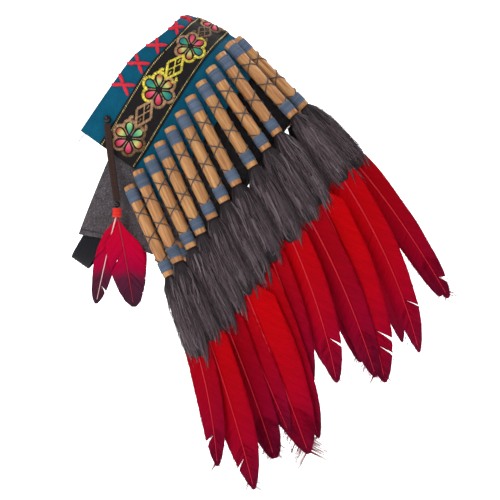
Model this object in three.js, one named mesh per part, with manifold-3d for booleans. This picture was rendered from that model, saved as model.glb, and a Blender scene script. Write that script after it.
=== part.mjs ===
// Feathered headdress: a felt band with a woven trim, a crown of wooden tubes,
// each with a fur tuft and one long feather, an elastic back strap and an ear drop on each side.
// Millimetres, +Z up. The headdress hangs by the fold at the front of its band.
// X runs to the right of the view, Y runs from the near half to the far half.

import * as THREE from 'three';
import { mergeVertices } from 'three/addons/utils/BufferGeometryUtils.js';
import Module from 'manifold-3d';

const wasm = await Module();
wasm.setup();

// Loop that goes round the head, laid nearly flat while it hangs
const loopDepth = 280;
const loopHalfWidth = 50;
const loopFrontShift = 0.22;
const loopTilt = THREE.MathUtils.degToRad(125);
const foldNose = 8;
const foldSpread = 0.12;
const foldSink = 0.4;
const foldToPeg = 29;

// Felt band, woven trim, felt backing and elastic strap
const bandBrowHeight = 73;
const bandCrownHeight = 34;
const bandHalfLength = 188;
const bandThickness = 2;
const trimWidth = 43.5;
const trimCrownGap = 10.5;
const trimDriftFront = -3;
const trimDriftEar = 4.2;
const trimThickness = 1;
const backingThickness = 2.5;
const backingCrownHeight = 57;
const backingFrontHeight = 92;
const backingBrowInset = 3;
const wingBrowStart = 36;
const wingBrowEnd = 19;
const hemBrowArc = 280;
const hemCrownArc = 216;
const strapThickness = 1.5;
const strapHalfWidth = 11;
const strapShift = 4;
const strapOverlap = 26;
const strapGap = 0.9;
const layerGap = 0.3;
const feltGap = 0.7;
const tubeSeatGap = 0.3;

// Towards the front the band's brow edge is cut away a little, and in the fold it lies further back
const browDip = 11.5;
const dipStart = 45;
const dipEnd = 105;
const foldRetreat = 9.5;
const foldFade = 24;

// Wooden tubes with two thread wraps each
const tubeCount = 12;
const tubePitch = 17.4;
const firstTubeArc = 13;
const tubeLength = 100;
const tubeRadius = 6;
const tubeBoreRadius = 2.6;
const wrapDepth = 0.7;
const bareEnd = 5;
const topWrapLength = 13.5;
const lowerWrapLength = 11;
const tubeSides = 8;

// Fur tufts and feathers
const tuftLength = 84;
const tuftHalfWidth = 14;
const tuftHalfDepth = 4;
const neckRadius = 5.2;
const quillRadius = 1.9;
const quillPeg = 9;
const vaneHalfDepth = 0.8;
const plumeGap = 0.3;

// Ear drops: a bead on the band, a lace, a knot bead, a wrap and two small feathers
const dropFromBandEnd = 25;
const dropAboveBrow = 17;
const beadRadius = 4;
const laceWidth = 7;
const laceThickness = 3;
const knotBeadRadius = 3.8;
const knotBeadHeight = 6.5;
const wrapRadius = 4.4;
const wrapHeight = 9;
const dropFeatherDepth = 0.9;

// Colours seen in the photograph
const colours = {
  teal: 0x14698a, trim: 0x1c1a18, grey: 0x5f5a5d, strap: 0x1c1c24, wood: 0xc08a55,
  plume: 0xb00822, lace: 0x3a2a26, bead: 0x120f10, drop: 0xa5102c,
};
const material = (name, roughness) =>
  new THREE.MeshStandardMaterial({ color: colours[name], roughness, metalness: 0 });

// The tubes lean back from the front one to the one at the ear, and stand out a little there.
// rise in mm above the row's line, lean and splay in degrees, reach in mm along the feather, sweep
// the degrees that it turns down, half the vane's width in mm, lift the mm that its tip stands out
// from the row, and roll and vaneRoll the degrees that the tuft and the vane turn their later edge
// outwards, like shingles.
const tubeTable = [
  { rise: 3, lean: 10.6, splay: 3, reach: 247, sweep: 16, halfVane: 12, lift: -4, roll: 22, vaneRoll: 14 },
  { rise: 5, lean: 12.4, splay: 3, reach: 272, sweep: 28, halfVane: 12, lift: 0, roll: 22, vaneRoll: 16 },
  { rise: 4.5, lean: 18.6, splay: 3, reach: 271, sweep: 25, halfVane: 17.5, lift: 3, roll: 22, vaneRoll: 16 },
  { rise: 3.5, lean: 20.4, splay: 3, reach: 251, sweep: 18, halfVane: 15, lift: 0, roll: 24, vaneRoll: 18 },
  { rise: 2.5, lean: 23.0, splay: 3, reach: 229, sweep: 21, halfVane: 15.5, lift: 2, roll: 24, vaneRoll: 18 },
  { rise: 2, lean: 27.0, splay: 3, reach: 215, sweep: 16, halfVane: 14, lift: 0, roll: 24, vaneRoll: 18 },
  { rise: 1, lean: 28.2, splay: 3, reach: 249, sweep: 10, halfVane: 14.5, lift: 0, roll: 24, vaneRoll: 18 },
  { rise: 0, lean: 29.4, splay: 3, reach: 248, sweep: 6, halfVane: 21, lift: 0, roll: 24, vaneRoll: 16 },
  { rise: 0, lean: 30.2, splay: 3, reach: 213, sweep: 2, halfVane: 15, lift: 3, roll: 25, vaneRoll: 20 },
  { rise: 0, lean: 30.2, splay: 4, reach: 221, sweep: 8, halfVane: 16, lift: 0, roll: 29, vaneRoll: 18 },
  { rise: 1, lean: 31.8, splay: 7, reach: 231, sweep: 10, halfVane: 16, lift: 4, roll: 29, vaneRoll: 18 },
  { rise: 0, lean: 30.0, splay: 10, reach: 190, sweep: 20, halfVane: 12, lift: 2, roll: 28, vaneRoll: 18 },
];

// Plan of the loop: a flattened ring that is wider towards its front and pinched into a fold there.
const planSteps = 2000;
const plan = [];
for (let i = 0, arc = 0; i <= planSteps; i += 1) {
  const angle = (i / planSteps) * Math.PI;
  const nose = foldNose * Math.exp(-((angle / foldSpread) ** 2));
  const along = (loopDepth * (1 - Math.cos(angle))) / 2 - nose;
  const out = loopHalfWidth * Math.sin(angle) * (1 + loopFrontShift * Math.cos(angle));
  if (i > 0) arc += Math.hypot(along - plan[i - 1].along, out - plan[i - 1].out);
  plan.push({ arc, along, out });
}
const loopHalfLength = plan[planSteps].arc;

// A point of the plan at an arc length from the front fold; a negative arc is on the far half.
function planPoint(arc) {
  const wanted = Math.min(Math.abs(arc), loopHalfLength * 0.9999);
  let i = Math.floor((wanted / loopHalfLength) * planSteps);
  while (i > 0 && plan[i].arc > wanted) i -= 1;
  while (plan[i + 1].arc < wanted) i += 1;
  const t = (wanted - plan[i].arc) / (plan[i + 1].arc - plan[i].arc);
  const along = THREE.MathUtils.lerp(plan[i].along, plan[i + 1].along, t);
  const out = THREE.MathUtils.lerp(plan[i].out, plan[i + 1].out, t);
  return { along, side: arc < 0 ? out : -out };
}

const tubeArc = (index) => firstTubeArc + tubePitch * index;

// A column of the tube table at any arc length, between the rows.
function tableValue(column, arc) {
  const place = (Math.abs(arc) - firstTubeArc) / tubePitch;
  const held = THREE.MathUtils.clamp(place, 0, tubeTable.length - 1);
  const row = Math.min(Math.floor(held), tubeTable.length - 2);
  return THREE.MathUtils.lerp(tubeTable[row][column], tubeTable[row + 1][column], held - row);
}

// Middle surface of the felt: crown side along the tubes, brow side upright but for the front fold.
function wallMiddle(arc, height) {
  const { along, side } = planPoint(arc);
  if (height >= 0) {
    const lean = Math.tan(THREE.MathUtils.degToRad(tableValue('lean', arc)));
    const splay = Math.tan(THREE.MathUtils.degToRad(tableValue('splay', arc)));
    const outward = Math.sign(side) * Math.min(1, Math.abs(side) / firstTubeArc);
    return new THREE.Vector3(along + height * lean, side + height * splay * outward, height);
  }
  const depth = (height / bandBrowHeight) ** 2;
  const dip = browDip * (1 - THREE.MathUtils.smoothstep(Math.abs(arc), dipStart, dipEnd));
  const retreat = foldRetreat * Math.exp(-((arc / foldFade) ** 2));
  return new THREE.Vector3(along + retreat * depth, side, height + dip * depth);
}

// A point at an offset from the felt, measured outwards from the loop.
function wallPoint(arc, height, offset) {
  const step = 1.5;
  const alongArc = wallMiddle(arc + step, height).sub(wallMiddle(arc - step, height));
  const up = wallMiddle(arc, height + step).sub(wallMiddle(arc, height - step));
  const normal = alongArc.cross(up).normalize();
  return wallMiddle(arc, height).addScaledVector(normal, offset);
}

// A closed body from its corner points and faces, turned so that the faces point out.
function closedBody(points, faces) {
  let volume = 0;
  for (const [a, b, c] of faces) {
    volume += points[a].dot(new THREE.Vector3().crossVectors(points[b], points[c]));
  }
  const order = volume < 0 ? ([a, b, c]) => [a, c, b] : (face) => face;
  const geometry = new THREE.BufferGeometry();
  geometry.setAttribute('position', new THREE.Float32BufferAttribute(
    points.flatMap((point) => point.toArray()), 3));
  geometry.setIndex(faces.flatMap(order));
  return geometry;
}

// Rings of equal size joined into a closed skin, with a fan over each end.
function loft(rings) {
  const sides = rings[0].length;
  const points = rings.flat();
  const faces = [];
  for (let r = 0; r + 1 < rings.length; r += 1) {
    for (let k = 0; k < sides; k += 1) {
      const a = r * sides + k;
      const b = r * sides + ((k + 1) % sides);
      faces.push([a, b, b + sides], [a, b + sides, a + sides]);
    }
  }
  const last = (rings.length - 1) * sides;
  for (let k = 1; k + 1 < sides; k += 1) {
    faces.push([0, k + 1, k], [last, last + k, last + k + 1]);
  }
  return closedBody(points, faces);
}

// A sheet of felt or webbing: its outer skin, its inner skin and the rim between them.
function wallSheet(arcs, heightsAt, inner, outer) {
  const rows = heightsAt(0).length;
  const points = [];
  for (const offset of [outer, inner]) {
    for (const arc of arcs) {
      for (const { slide, height } of heightsAt(arc)) {
        points.push(wallPoint(slide, height, offset));
      }
    }
  }
  const skin = arcs.length * rows;
  const faces = [];
  const quad = (a, b, c, d) => faces.push([a, b, c], [a, c, d]);
  for (let i = 0; i + 1 < arcs.length; i += 1) {
    for (let j = 0; j + 1 < rows; j += 1) {
      const a = i * rows + j;
      quad(a, a + rows, a + rows + 1, a + 1);
      quad(skin + a, skin + a + 1, skin + a + rows + 1, skin + a + rows);
    }
    for (const j of [0, rows - 1]) {
      const a = i * rows + j;
      if (j === 0) quad(a, skin + a, skin + a + rows, a + rows);
      else quad(a, a + rows, skin + a + rows, skin + a);
    }
  }
  for (const i of [0, arcs.length - 1]) {
    for (let j = 0; j + 1 < rows; j += 1) {
      const a = i * rows + j;
      if (i === 0) quad(a, a + 1, skin + a + 1, skin + a);
      else quad(a, skin + a, skin + a + 1, a + 1);
    }
  }
  return closedBody(points, faces);
}

// Arc lengths for a sheet: close together round the front fold, wider along the sides.
function arcStations(halfLength) {
  const shares = [0, 0.025, 0.049, 0.085, 0.13, 0.18, 0.25, 0.3, 0.35, 0.43, 0.54, 0.68, 0.8, 0.9, 1];
  const near = shares.map((share) => share * halfLength);
  return [...near.slice(1).map((arc) => -arc).reverse(), ...near];
}

const named = (name, geometry, finish) => {
  const mesh = new THREE.Mesh(geometry, finish);
  mesh.name = name;
  return mesh;
};

// Teal felt band on the outside, and the woven trim sewn on it
function tealBand() {
  const heights = [-bandBrowHeight, -bandBrowHeight / 2, 0, bandCrownHeight];
  const rows = (arc) => heights.map((height) => ({ slide: arc, height }));
  return wallSheet(arcStations(bandHalfLength), rows, feltGap, feltGap + bandThickness);
}

function wovenTrim() {
  const rows = (arc) => {
    const share = THREE.MathUtils.clamp(Math.abs(arc) / bandHalfLength, 0.28, 0.88);
    const drift = THREE.MathUtils.mapLinear(share, 0.28, 0.88, trimDriftFront, trimDriftEar);
    const top = drift - trimCrownGap;
    return [top - trimWidth, top - trimWidth / 2, top].map((height) => ({ slide: arc, height }));
  };
  const inner = feltGap + bandThickness + layerGap;
  return wallSheet(arcStations(bandHalfLength), rows, inner, inner + trimThickness);
}

// Grey felt backing: behind the band at the front, and a wing with a slanting hem at the ear
function greyBacking() {
  const half = arcStations(bandHalfLength).filter((arc) => arc >= 0);
  const wingShares = [0.22, 0.42, 0.6, 0.75, 0.88, 1];
  const near = [...half, ...wingShares.map((share) => bandHalfLength * (1 + share))];
  const arcs = [...near.slice(1).map((arc) => -arc).reverse(), ...near];
  const rows = (arc) => {
    const size = Math.abs(arc);
    const wing = Math.max(0, size - bandHalfLength) / bandHalfLength;
    const side = Math.sign(arc);
    const brow = wing > 0
      ? THREE.MathUtils.lerp(wingBrowStart, wingBrowEnd, wing)
      : THREE.MathUtils.lerp(bandBrowHeight - backingBrowInset, wingBrowStart,
        THREE.MathUtils.smoothstep(size, bandHalfLength * 0.85, bandHalfLength));
    const crown = THREE.MathUtils.lerp(backingFrontHeight, backingCrownHeight,
      THREE.MathUtils.smoothstep(size, bandHalfLength * 0.75, bandHalfLength * 1.1));
    const reach = (hem) => (wing > 0 ? bandHalfLength + wing * (hem - bandHalfLength) : size);
    const hemBetween = (share) => THREE.MathUtils.lerp(hemBrowArc, hemCrownArc, share);
    return [
      { slide: side * reach(hemBrowArc), height: -brow },
      { slide: side * reach(hemBetween(0.16)), height: 0 },
      { slide: side * reach(hemBetween(0.7)), height: bandCrownHeight },
      { slide: side * reach(hemCrownArc), height: crown },
    ];
  };
  return wallSheet(arcs, rows, -backingThickness, 0);
}

// Elastic strap that closes the loop behind the head, sewn inside both hems
function backStrap() {
  const start = hemBrowArc - strapOverlap;
  const shares = [0, 0.2, 0.4, 0.58, 0.74, 0.88, 1];
  const near = shares.map((share) => THREE.MathUtils.lerp(start, loopHalfLength, share));
  const far = near.slice(0, -1).map((arc) => -arc).reverse();
  const outer = -backingThickness - strapGap;
  const ringAt = (arc, tip) => {
    const { along, side } = planPoint(arc);
    const step = 1;
    const before = planPoint(Math.sign(arc) * (Math.abs(arc) - step));
    const heading = new THREE.Vector2(along - before.along, side - before.side).normalize();
    const outward = tip
      ? new THREE.Vector2(1, 0)
      : new THREE.Vector2(-heading.y, heading.x).multiplyScalar(arc > 0 ? -1 : 1);
    const corner = (offset, height) => new THREE.Vector3(
      along + outward.x * offset, (tip ? 0 : side) + outward.y * offset, height);
    const inner = outer - strapThickness;
    const [low, high] = [-strapHalfWidth - strapShift, strapHalfWidth - strapShift];
    return [corner(outer, low), corner(outer, high), corner(inner, high), corner(inner, low)];
  };
  const rings = near.map((arc, i) => ringAt(arc, i === near.length - 1));
  return loft([...rings, ...far.map((arc) => ringAt(arc, false))]);
}

// Turned wooden tube, drilled through, with a thread wrap near each end
function tubeGeometry() {
  const wrapped = tubeRadius + wrapDepth;
  const lowerWrapTop = bareEnd + lowerWrapLength;
  const topWrapBottom = tubeLength - bareEnd - topWrapLength;
  const profile = [
    [tubeBoreRadius, 0], [tubeRadius, 0], [tubeRadius, bareEnd], [wrapped, bareEnd],
    [wrapped, lowerWrapTop], [tubeRadius, lowerWrapTop], [tubeRadius, topWrapBottom],
    [wrapped, topWrapBottom], [wrapped, tubeLength - bareEnd], [tubeRadius, tubeLength - bareEnd],
    [tubeRadius, tubeLength], [tubeBoreRadius, tubeLength],
  ];
  const rings = profile.map(([radius, height]) => Array.from({ length: tubeSides }, (_, k) => {
    const angle = (k / tubeSides) * Math.PI * 2;
    return new THREE.Vector3(radius * Math.cos(angle), height - tubeLength, radius * Math.sin(angle));
  }));
  const points = rings.flat();
  const faces = [];
  for (let r = 0; r < rings.length; r += 1) {
    const next = (r + 1) % rings.length;
    for (let k = 0; k < tubeSides; k += 1) {
      const l = (k + 1) % tubeSides;
      const [a, b] = [r * tubeSides + k, r * tubeSides + l];
      const [c, d] = [next * tubeSides + l, next * tubeSides + k];
      faces.push([a, c, b], [a, d, c]);
    }
  }
  return closedBody(points, faces);
}

// Path of a plume below its tube: straight down the tube's line, then turning towards upright.
function plumePath(row, side) {
  const sweep = THREE.MathUtils.degToRad(row.sweep);
  const middle = (t) => {
    let x = 0;
    let y = 0;
    const pieces = 24;
    for (let i = 0; i < pieces; i += 1) {
      const turn = sweep * ((i + 0.5) / pieces) * t;
      x -= Math.sin(turn) * (row.reach * t) / pieces;
      y -= Math.cos(turn) * (row.reach * t) / pieces;
    }
    return new THREE.Vector3(side * x, y, row.lift * THREE.MathUtils.smoothstep(t, 0.42, 0.8));
  };
  return middle;
}

// A flat ring round a point of the path, turned by roll about the path.
function plumeRing(path, t, halfWidth, halfDepth, roll, side, sides) {
  const centre = path(t);
  const ahead = path(t + 0.01).sub(centre).normalize();
  const across = new THREE.Vector3(side, 0, 0);
  across.addScaledVector(ahead, -across.dot(ahead)).normalize();
  const depth = new THREE.Vector3().crossVectors(across, ahead).multiplyScalar(-side).normalize();
  const angle = THREE.MathUtils.degToRad(roll);
  const wide = across.clone().multiplyScalar(Math.cos(angle)).addScaledVector(depth, Math.sin(angle));
  const thick = depth.clone().multiplyScalar(Math.cos(angle)).addScaledVector(across, -Math.sin(angle));
  return Array.from({ length: sides }, (_, k) => {
    const turn = (k / sides) * Math.PI * 2;
    return centre.clone().addScaledVector(wide, Math.cos(turn) * halfWidth)
      .addScaledVector(thick, Math.sin(turn) * halfDepth);
  });
}

function toSolid(geometry) {
  const bare = geometry.clone();
  bare.deleteAttribute('normal');
  bare.deleteAttribute('uv');
  const merged = mergeVertices(bare, 1e-5);
  return new wasm.Manifold(new wasm.Mesh({
    numProp: 3,
    vertProperties: new Float32Array(merged.attributes.position.array),
    triVerts: new Uint32Array(merged.index.array),
  }));
}

function toGeometry(solid) {
  const { vertProperties, triVerts } = solid.getMesh();
  const geometry = new THREE.BufferGeometry();
  geometry.setAttribute('position', new THREE.Float32BufferAttribute(vertProperties, 3));
  geometry.setIndex(Array.from(triVerts));
  return geometry;
}

// One plume: quill peg, fur tuft and long flat feather in one skin, with pointed locks fused on
function plumeGeometry(row, side) {
  const path = plumePath(row, side);
  const tuft = tuftLength / row.reach;
  const gap = plumeGap / row.reach;
  const peg = [-quillPeg, plumeGap].map((length) => Array.from({ length: 6 }, (_, k) => {
    const turn = (k / 6) * Math.PI * 2;
    return new THREE.Vector3(side * quillRadius * Math.cos(turn), -length, quillRadius * Math.sin(turn));
  }));
  const furTable = [
    { at: 0, wide: neckRadius / tuftHalfWidth, deep: neckRadius / tuftHalfDepth, turn: 0 },
    { at: 0.22, wide: 0.5, deep: 1.1, turn: 0.5 },
    { at: 0.5, wide: 0.74, deep: 1, turn: 1 },
    { at: 0.82, wide: 0.9, deep: 0.7, turn: 1 },
  ];
  const fur = furTable.map(({ at, wide, deep, turn }) => plumeRing(path, gap + at * tuft,
    wide * tuftHalfWidth, deep * tuftHalfDepth, turn * row.roll, side, 6));
  const vaneTable = [
    { at: 0, wide: 0.7, deep: 1 }, { at: 0.32, wide: 1, deep: 1 },
    { at: 0.74, wide: 0.9, deep: 0.8 }, { at: 1, wide: 0.08, deep: 0.6 },
  ];
  const start = tuft * 0.96;
  const vane = vaneTable.map(({ at, wide, deep }) => plumeRing(path, start + at * (1 - start),
    wide * row.halfVane, deep * vaneHalfDepth, row.vaneRoll, side, 6));
  let solid = toSolid(loft([...peg, ...fur, ...vane]));
  const lockTable = [
    { across: -0.5, end: 1.02, half: 0.42 },
    { across: 0.42, end: 1.1, half: 0.46 },
  ];
  const angle = THREE.MathUtils.degToRad(row.roll);
  for (const { across, end, half } of lockTable) {
    const line = (t) => {
      const centre = path(t);
      centre.x += side * across * tuftHalfWidth * Math.cos(angle);
      centre.z += across * tuftHalfWidth * Math.sin(angle);
      return centre;
    };
    const lock = loft([
      plumeRing(line, tuft * 0.7, half * tuftHalfWidth, 0.6 * tuftHalfDepth, row.roll, side, 4),
      plumeRing(line, tuft * end, 0.08 * tuftHalfWidth, 0.2 * tuftHalfDepth, row.roll, side, 4),
    ]);
    solid = solid.add(toSolid(lock));
  }
  return toGeometry(solid);
}

// A tube and its plume hang from one group, whose Y axis runs up the tube.
function tubeAndPlume(index, side, finishes) {
  const row = tubeTable[index];
  const arc = tubeArc(index) * side;
  const onBand = tubeArc(index) < bandHalfLength + tubeRadius;
  const seat = (onBand ? feltGap + bandThickness : 0) + tubeSeatGap + tubeRadius + wrapDepth;
  const top = wallPoint(arc, 0, seat);
  const foot = wallPoint(arc, bandCrownHeight, seat);
  const up = top.clone().sub(foot).normalize();
  const outward = new THREE.Vector3(0, -side, 0);
  outward.addScaledVector(up, -outward.dot(up)).normalize();
  const right = new THREE.Vector3().crossVectors(up, outward);
  const group = new THREE.Group();
  group.position.copy(top).addScaledVector(up, row.rise);
  group.quaternion.setFromRotationMatrix(new THREE.Matrix4().makeBasis(right, up, outward));
  const label = `${side > 0 ? 'near' : 'far'}_${String(tubeCount - index).padStart(2, '0')}`;
  const plume = named(`plume_${label}`, plumeGeometry(row, side), finishes.plume);
  plume.position.y = -tubeLength;
  group.add(named(`tube_${label}`, tubeGeometry(), finishes.wood), plume);
  return group;
}

// Ear drop, built hanging straight down from the bead on the band's brow edge.
// Distances below the bead's centre are chosen by hand.
const laceRoute = [
  [0, 0, -4.6], [1.4, 0, -18], [3, 0, -33], [5, 0, -49], [7.2, 0, -65], [9.6, 0, -81],
];
const laceEnd = laceRoute[laceRoute.length - 1];
const knotDrop = laceEnd[2] - layerGap - knotBeadHeight / 2;

function laceGeometry() {
  const route = laceRoute.map(([x, y, z]) => new THREE.Vector3(x, y, z));
  const rings = route.map((point) => Array.from({ length: 8 }, (_, k) => {
    const turn = (k / 8) * Math.PI * 2;
    return new THREE.Vector3(point.x + Math.cos(turn) * laceWidth / 2,
      point.y + Math.sin(turn) * laceThickness / 2, point.z);
  }));
  return loft(rings);
}

// A closed lathe body about Z, from its radii and heights
function turned(profile, sides) {
  const geometry = new THREE.LatheGeometry(profile.map(([r, z]) => new THREE.Vector2(r, z)), sides);
  geometry.rotateX(Math.PI / 2);
  return toGeometry(toSolid(geometry));
}

function beadGeometry(radius, height) {
  const shares = [[0, -1], [0.55, -0.9], [0.95, -0.4], [0.95, 0.4], [0.55, 0.9], [0, 1]];
  return turned(shares.map(([r, z]) => [r * radius, z * height / 2]), 10);
}

function dropFeathersGeometry(mirror) {
  const top = [[0, 0], [wrapRadius, 0], [wrapRadius, -wrapHeight], [0, -wrapHeight]];
  let solid = toSolid(turned(top.reverse(), 10));
  const featherTable = [
    { sway: 17, reach: 92, half: 18, layer: -1.6 },
    { sway: -21, reach: 89, half: 11.5, layer: 1.6 },
  ];
  const outline = [[0, 0.18], [0.16, 0.55], [0.36, 1], [0.62, 0.95], [0.84, 0.6], [1, 0.06]];
  for (const { sway, reach, half, layer } of featherTable) {
    const rings = outline.map(([at, wide]) => {
      const centre = new THREE.Vector3(sway * at ** 0.9, mirror * layer * Math.min(1, at * 4),
        -wrapHeight + 3 - at * reach);
      return [[-1, 0], [0, -1], [1, 0], [0, 1]].map(([x, y]) => new THREE.Vector3(
        centre.x + x * half * wide, centre.y + y * dropFeatherDepth, centre.z));
    });
    solid = solid.add(toSolid(loft(rings)));
  }
  return toGeometry(solid);
}

function earDrop(side, toWorld, finishes) {
  const label = side > 0 ? 'near' : 'far';
  const out = feltGap + bandThickness + layerGap + beadRadius;
  const dropArc = (bandHalfLength - dropFromBandEnd) * side;
  const dropHeight = bandBrowHeight - dropAboveBrow;
  const group = new THREE.Group();
  group.position.copy(wallPoint(dropArc, -dropHeight, out).applyMatrix4(toWorld));
  const knot = named(`knot_bead_${label}`, beadGeometry(knotBeadRadius, knotBeadHeight), finishes.bead);
  knot.position.set(laceEnd[0], 0, knotDrop);
  const feathers = named(`drop_feathers_${label}`, dropFeathersGeometry(side), finishes.drop);
  feathers.position.set(laceEnd[0], 0, knotDrop - knotBeadHeight / 2 - layerGap);
  group.add(
    named(`drop_bead_${label}`, beadGeometry(beadRadius, beadRadius * 2), finishes.bead),
    named(`lace_${label}`, laceGeometry(), finishes.lace),
    knot,
    feathers,
  );
  return group;
}

// The loop hangs with its front fold on the peg and its back strap lowest.
const loop = new THREE.Group();
loop.rotation.y = loopTilt;
const pegInLoop = wallMiddle(0, -foldToPeg).add(new THREE.Vector3(foldSink, 0, 0));
loop.position.copy(pegInLoop.applyEuler(loop.rotation).negate());
loop.updateMatrix();

const finishes = {
  wood: material('wood', 0.55), plume: material('plume', 0.6), lace: material('lace', 0.9),
  bead: material('bead', 0.35), drop: material('drop', 0.6),
};
loop.add(
  named('teal_band', tealBand(), material('teal', 0.95)),
  named('woven_trim', wovenTrim(), material('trim', 0.7)),
  named('grey_backing', greyBacking(), material('grey', 0.95)),
  named('back_strap', backStrap(), material('strap', 0.8)),
);
for (const side of [1, -1]) {
  for (let index = 0; index < tubeCount; index += 1) loop.add(tubeAndPlume(index, side, finishes));
}

const headdress = new THREE.Group();
headdress.add(loop, earDrop(1, loop.matrix, finishes), earDrop(-1, loop.matrix, finishes));

export default headdress;
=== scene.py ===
import math

import bpy
import numpy as np
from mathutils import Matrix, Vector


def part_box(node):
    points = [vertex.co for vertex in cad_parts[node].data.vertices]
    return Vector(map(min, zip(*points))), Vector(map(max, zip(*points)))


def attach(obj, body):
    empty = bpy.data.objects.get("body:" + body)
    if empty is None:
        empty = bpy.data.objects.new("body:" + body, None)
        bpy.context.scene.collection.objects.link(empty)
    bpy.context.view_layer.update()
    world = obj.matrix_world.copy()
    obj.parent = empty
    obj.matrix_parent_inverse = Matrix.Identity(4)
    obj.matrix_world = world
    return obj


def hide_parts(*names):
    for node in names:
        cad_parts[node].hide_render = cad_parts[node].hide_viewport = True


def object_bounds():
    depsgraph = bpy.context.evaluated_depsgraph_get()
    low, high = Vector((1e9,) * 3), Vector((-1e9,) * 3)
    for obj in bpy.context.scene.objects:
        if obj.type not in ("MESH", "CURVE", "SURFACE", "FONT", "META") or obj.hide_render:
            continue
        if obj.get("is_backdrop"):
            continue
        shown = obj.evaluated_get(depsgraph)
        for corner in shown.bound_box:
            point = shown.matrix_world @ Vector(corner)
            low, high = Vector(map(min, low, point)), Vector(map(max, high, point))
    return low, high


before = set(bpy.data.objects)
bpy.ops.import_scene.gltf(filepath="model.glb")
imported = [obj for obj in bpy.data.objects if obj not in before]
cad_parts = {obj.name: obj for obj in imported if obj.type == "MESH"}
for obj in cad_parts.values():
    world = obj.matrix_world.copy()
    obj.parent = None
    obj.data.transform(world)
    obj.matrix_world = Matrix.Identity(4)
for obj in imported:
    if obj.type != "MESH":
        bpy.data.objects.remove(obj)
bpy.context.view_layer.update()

# The view
# The headdress hangs from a peg through its front fold, before a white studio sheet.
# It is seen square from its near side, lit softly from the upper left and the front.
camera_data = bpy.data.cameras.new("view_camera")
camera_data.sensor_width = 36.0
camera_data.lens = 72.0
camera = bpy.data.objects.new("view_camera", camera_data)
camera.location = (0.0354, -1.05, -0.2312)
camera.rotation_euler = (math.radians(90), 0, 0)
bpy.context.scene.collection.objects.link(camera)
bpy.context.scene.camera = camera
bpy.context.scene.view_settings.view_transform = "Standard"


def add_light(name, place, aim, size, watts):
    """A square soft box at a place, turned to face its aim."""
    data = bpy.data.lights.new(name, "AREA")
    data.size = size
    data.energy = watts
    lamp = bpy.data.objects.new(name, data)
    lamp.location = place
    heading = np.array(aim) - np.array(place)
    flat = math.hypot(heading[0], heading[1])
    lamp.rotation_euler = (math.atan2(flat, -heading[2]), 0, math.atan2(heading[1], heading[0]) - math.pi / 2)
    bpy.context.scene.collection.objects.link(lamp)


add_light("key_softbox", (-0.9, -1.3, 0.9), (0.03, 0, -0.22), 0.8, 22)
add_light("fill_softbox", (1.2, -1.4, 0.0), (0.03, 0, -0.25), 1.4, 4)
add_light("rim_softbox", (0.5, 0.3, 0.9), (0.05, 0, -0.2), 0.8, 7)
world = bpy.data.worlds.new("studio_air")
world.use_nodes = True
world.node_tree.nodes["Background"].inputs["Color"].default_value = (1, 1, 1, 1)
world.node_tree.nodes["Background"].inputs["Strength"].default_value = 0.22
bpy.context.scene.world = world


def dye(red, green, blue):
    """Screen values from 0 to 255 as a linear colour with full alpha."""
    screen = np.array([red, green, blue]) / 255
    linear = np.where(screen > 0.04045, ((screen + 0.055) / 1.055) ** 2.4, screen / 12.92)
    return (*linear, 1.0)


class Link:
    """A node's output. Python's operators on it add Math nodes to its paint."""

    def __init__(self, paint, socket):
        self.paint = paint
        self.socket = socket

    def maths(self, operation, *values):
        return self.paint.node("Math", {"operation": operation}, dict(enumerate(values)))

    def __add__(self, other):
        return self.maths("ADD", self, other)

    def __sub__(self, other):
        return self.maths("SUBTRACT", self, other)

    def __rsub__(self, other):
        return self.maths("SUBTRACT", other, self)

    def __mul__(self, other):
        return self.maths("MULTIPLY", self, other)

    __radd__ = __add__
    __rmul__ = __mul__

    def wave(self):
        """The sine, from 0 to 1."""
        return self.maths("SINE", self) * 0.5 + 0.5

    def held(self):
        """Held between 0 and 1."""
        return self.maths("MINIMUM", self.maths("MAXIMUM", self, 0.0), 1.0)


class Paint:
    """A material on one Principled shader, whose constants are set on the shader's own sockets."""

    def __init__(self, name, **constants):
        self.material = bpy.data.materials.new(name)
        self.material.use_nodes = True
        self.tree = self.material.node_tree
        self.shader = self.tree.nodes["Principled BSDF"]
        for socket, value in constants.items():
            self.shader.inputs[socket.replace("_", " ")].default_value = value

    def node(self, kind, settings=None, inputs=None, output=0):
        """Any node: its type, its settings, then its sockets' values or links."""
        node = self.tree.nodes.new("ShaderNode" + kind)
        for name, value in (settings or {}).items():
            setattr(node, name, value)
        for key, value in (inputs or {}).items():
            self.feed(node.inputs[key], value)
        return Link(self, node.outputs[output])

    def feed(self, socket, value):
        if isinstance(value, Link):
            self.tree.links.new(value.socket, socket)
        else:
            socket.default_value = value

    def lay(self, scale):
        """The piece's own coordinates in metres, scaled along each axis."""
        place = self.node("Attribute", {"attribute_name": "lay"}, output="Vector")
        return self.node("Mapping", {}, {"Vector": place, "Scale": scale})

    def noise(self, scale, detail=2.0, rough=0.6):
        return self.node("TexNoise", {}, {"Vector": self.lay(scale), "Scale": 1.0, "Detail": detail,
                                          "Roughness": rough})

    def dyed(self):
        """The colour that each point of the piece was dyed."""
        return self.node("Attribute", {"attribute_name": "dye"}, output="Color")

    def mix(self, share, first, second, blend="MIX"):
        return self.node("Mix", {"data_type": "RGBA", "blend_type": blend},
                         {0: share, 6: first, 7: second}, output=2)

    def finish(self, colour, height=None, distance=0.001, strength=1.0, roughness=None):
        self.feed(self.shader.inputs["Base Color"], colour)
        if roughness is not None:
            self.feed(self.shader.inputs["Roughness"], roughness)
        if height is not None:
            bump = self.node("Bump", {}, {"Height": height, "Distance": distance, "Strength": strength})
            self.feed(self.shader.inputs["Normal"], bump)
        return self.material


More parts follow.
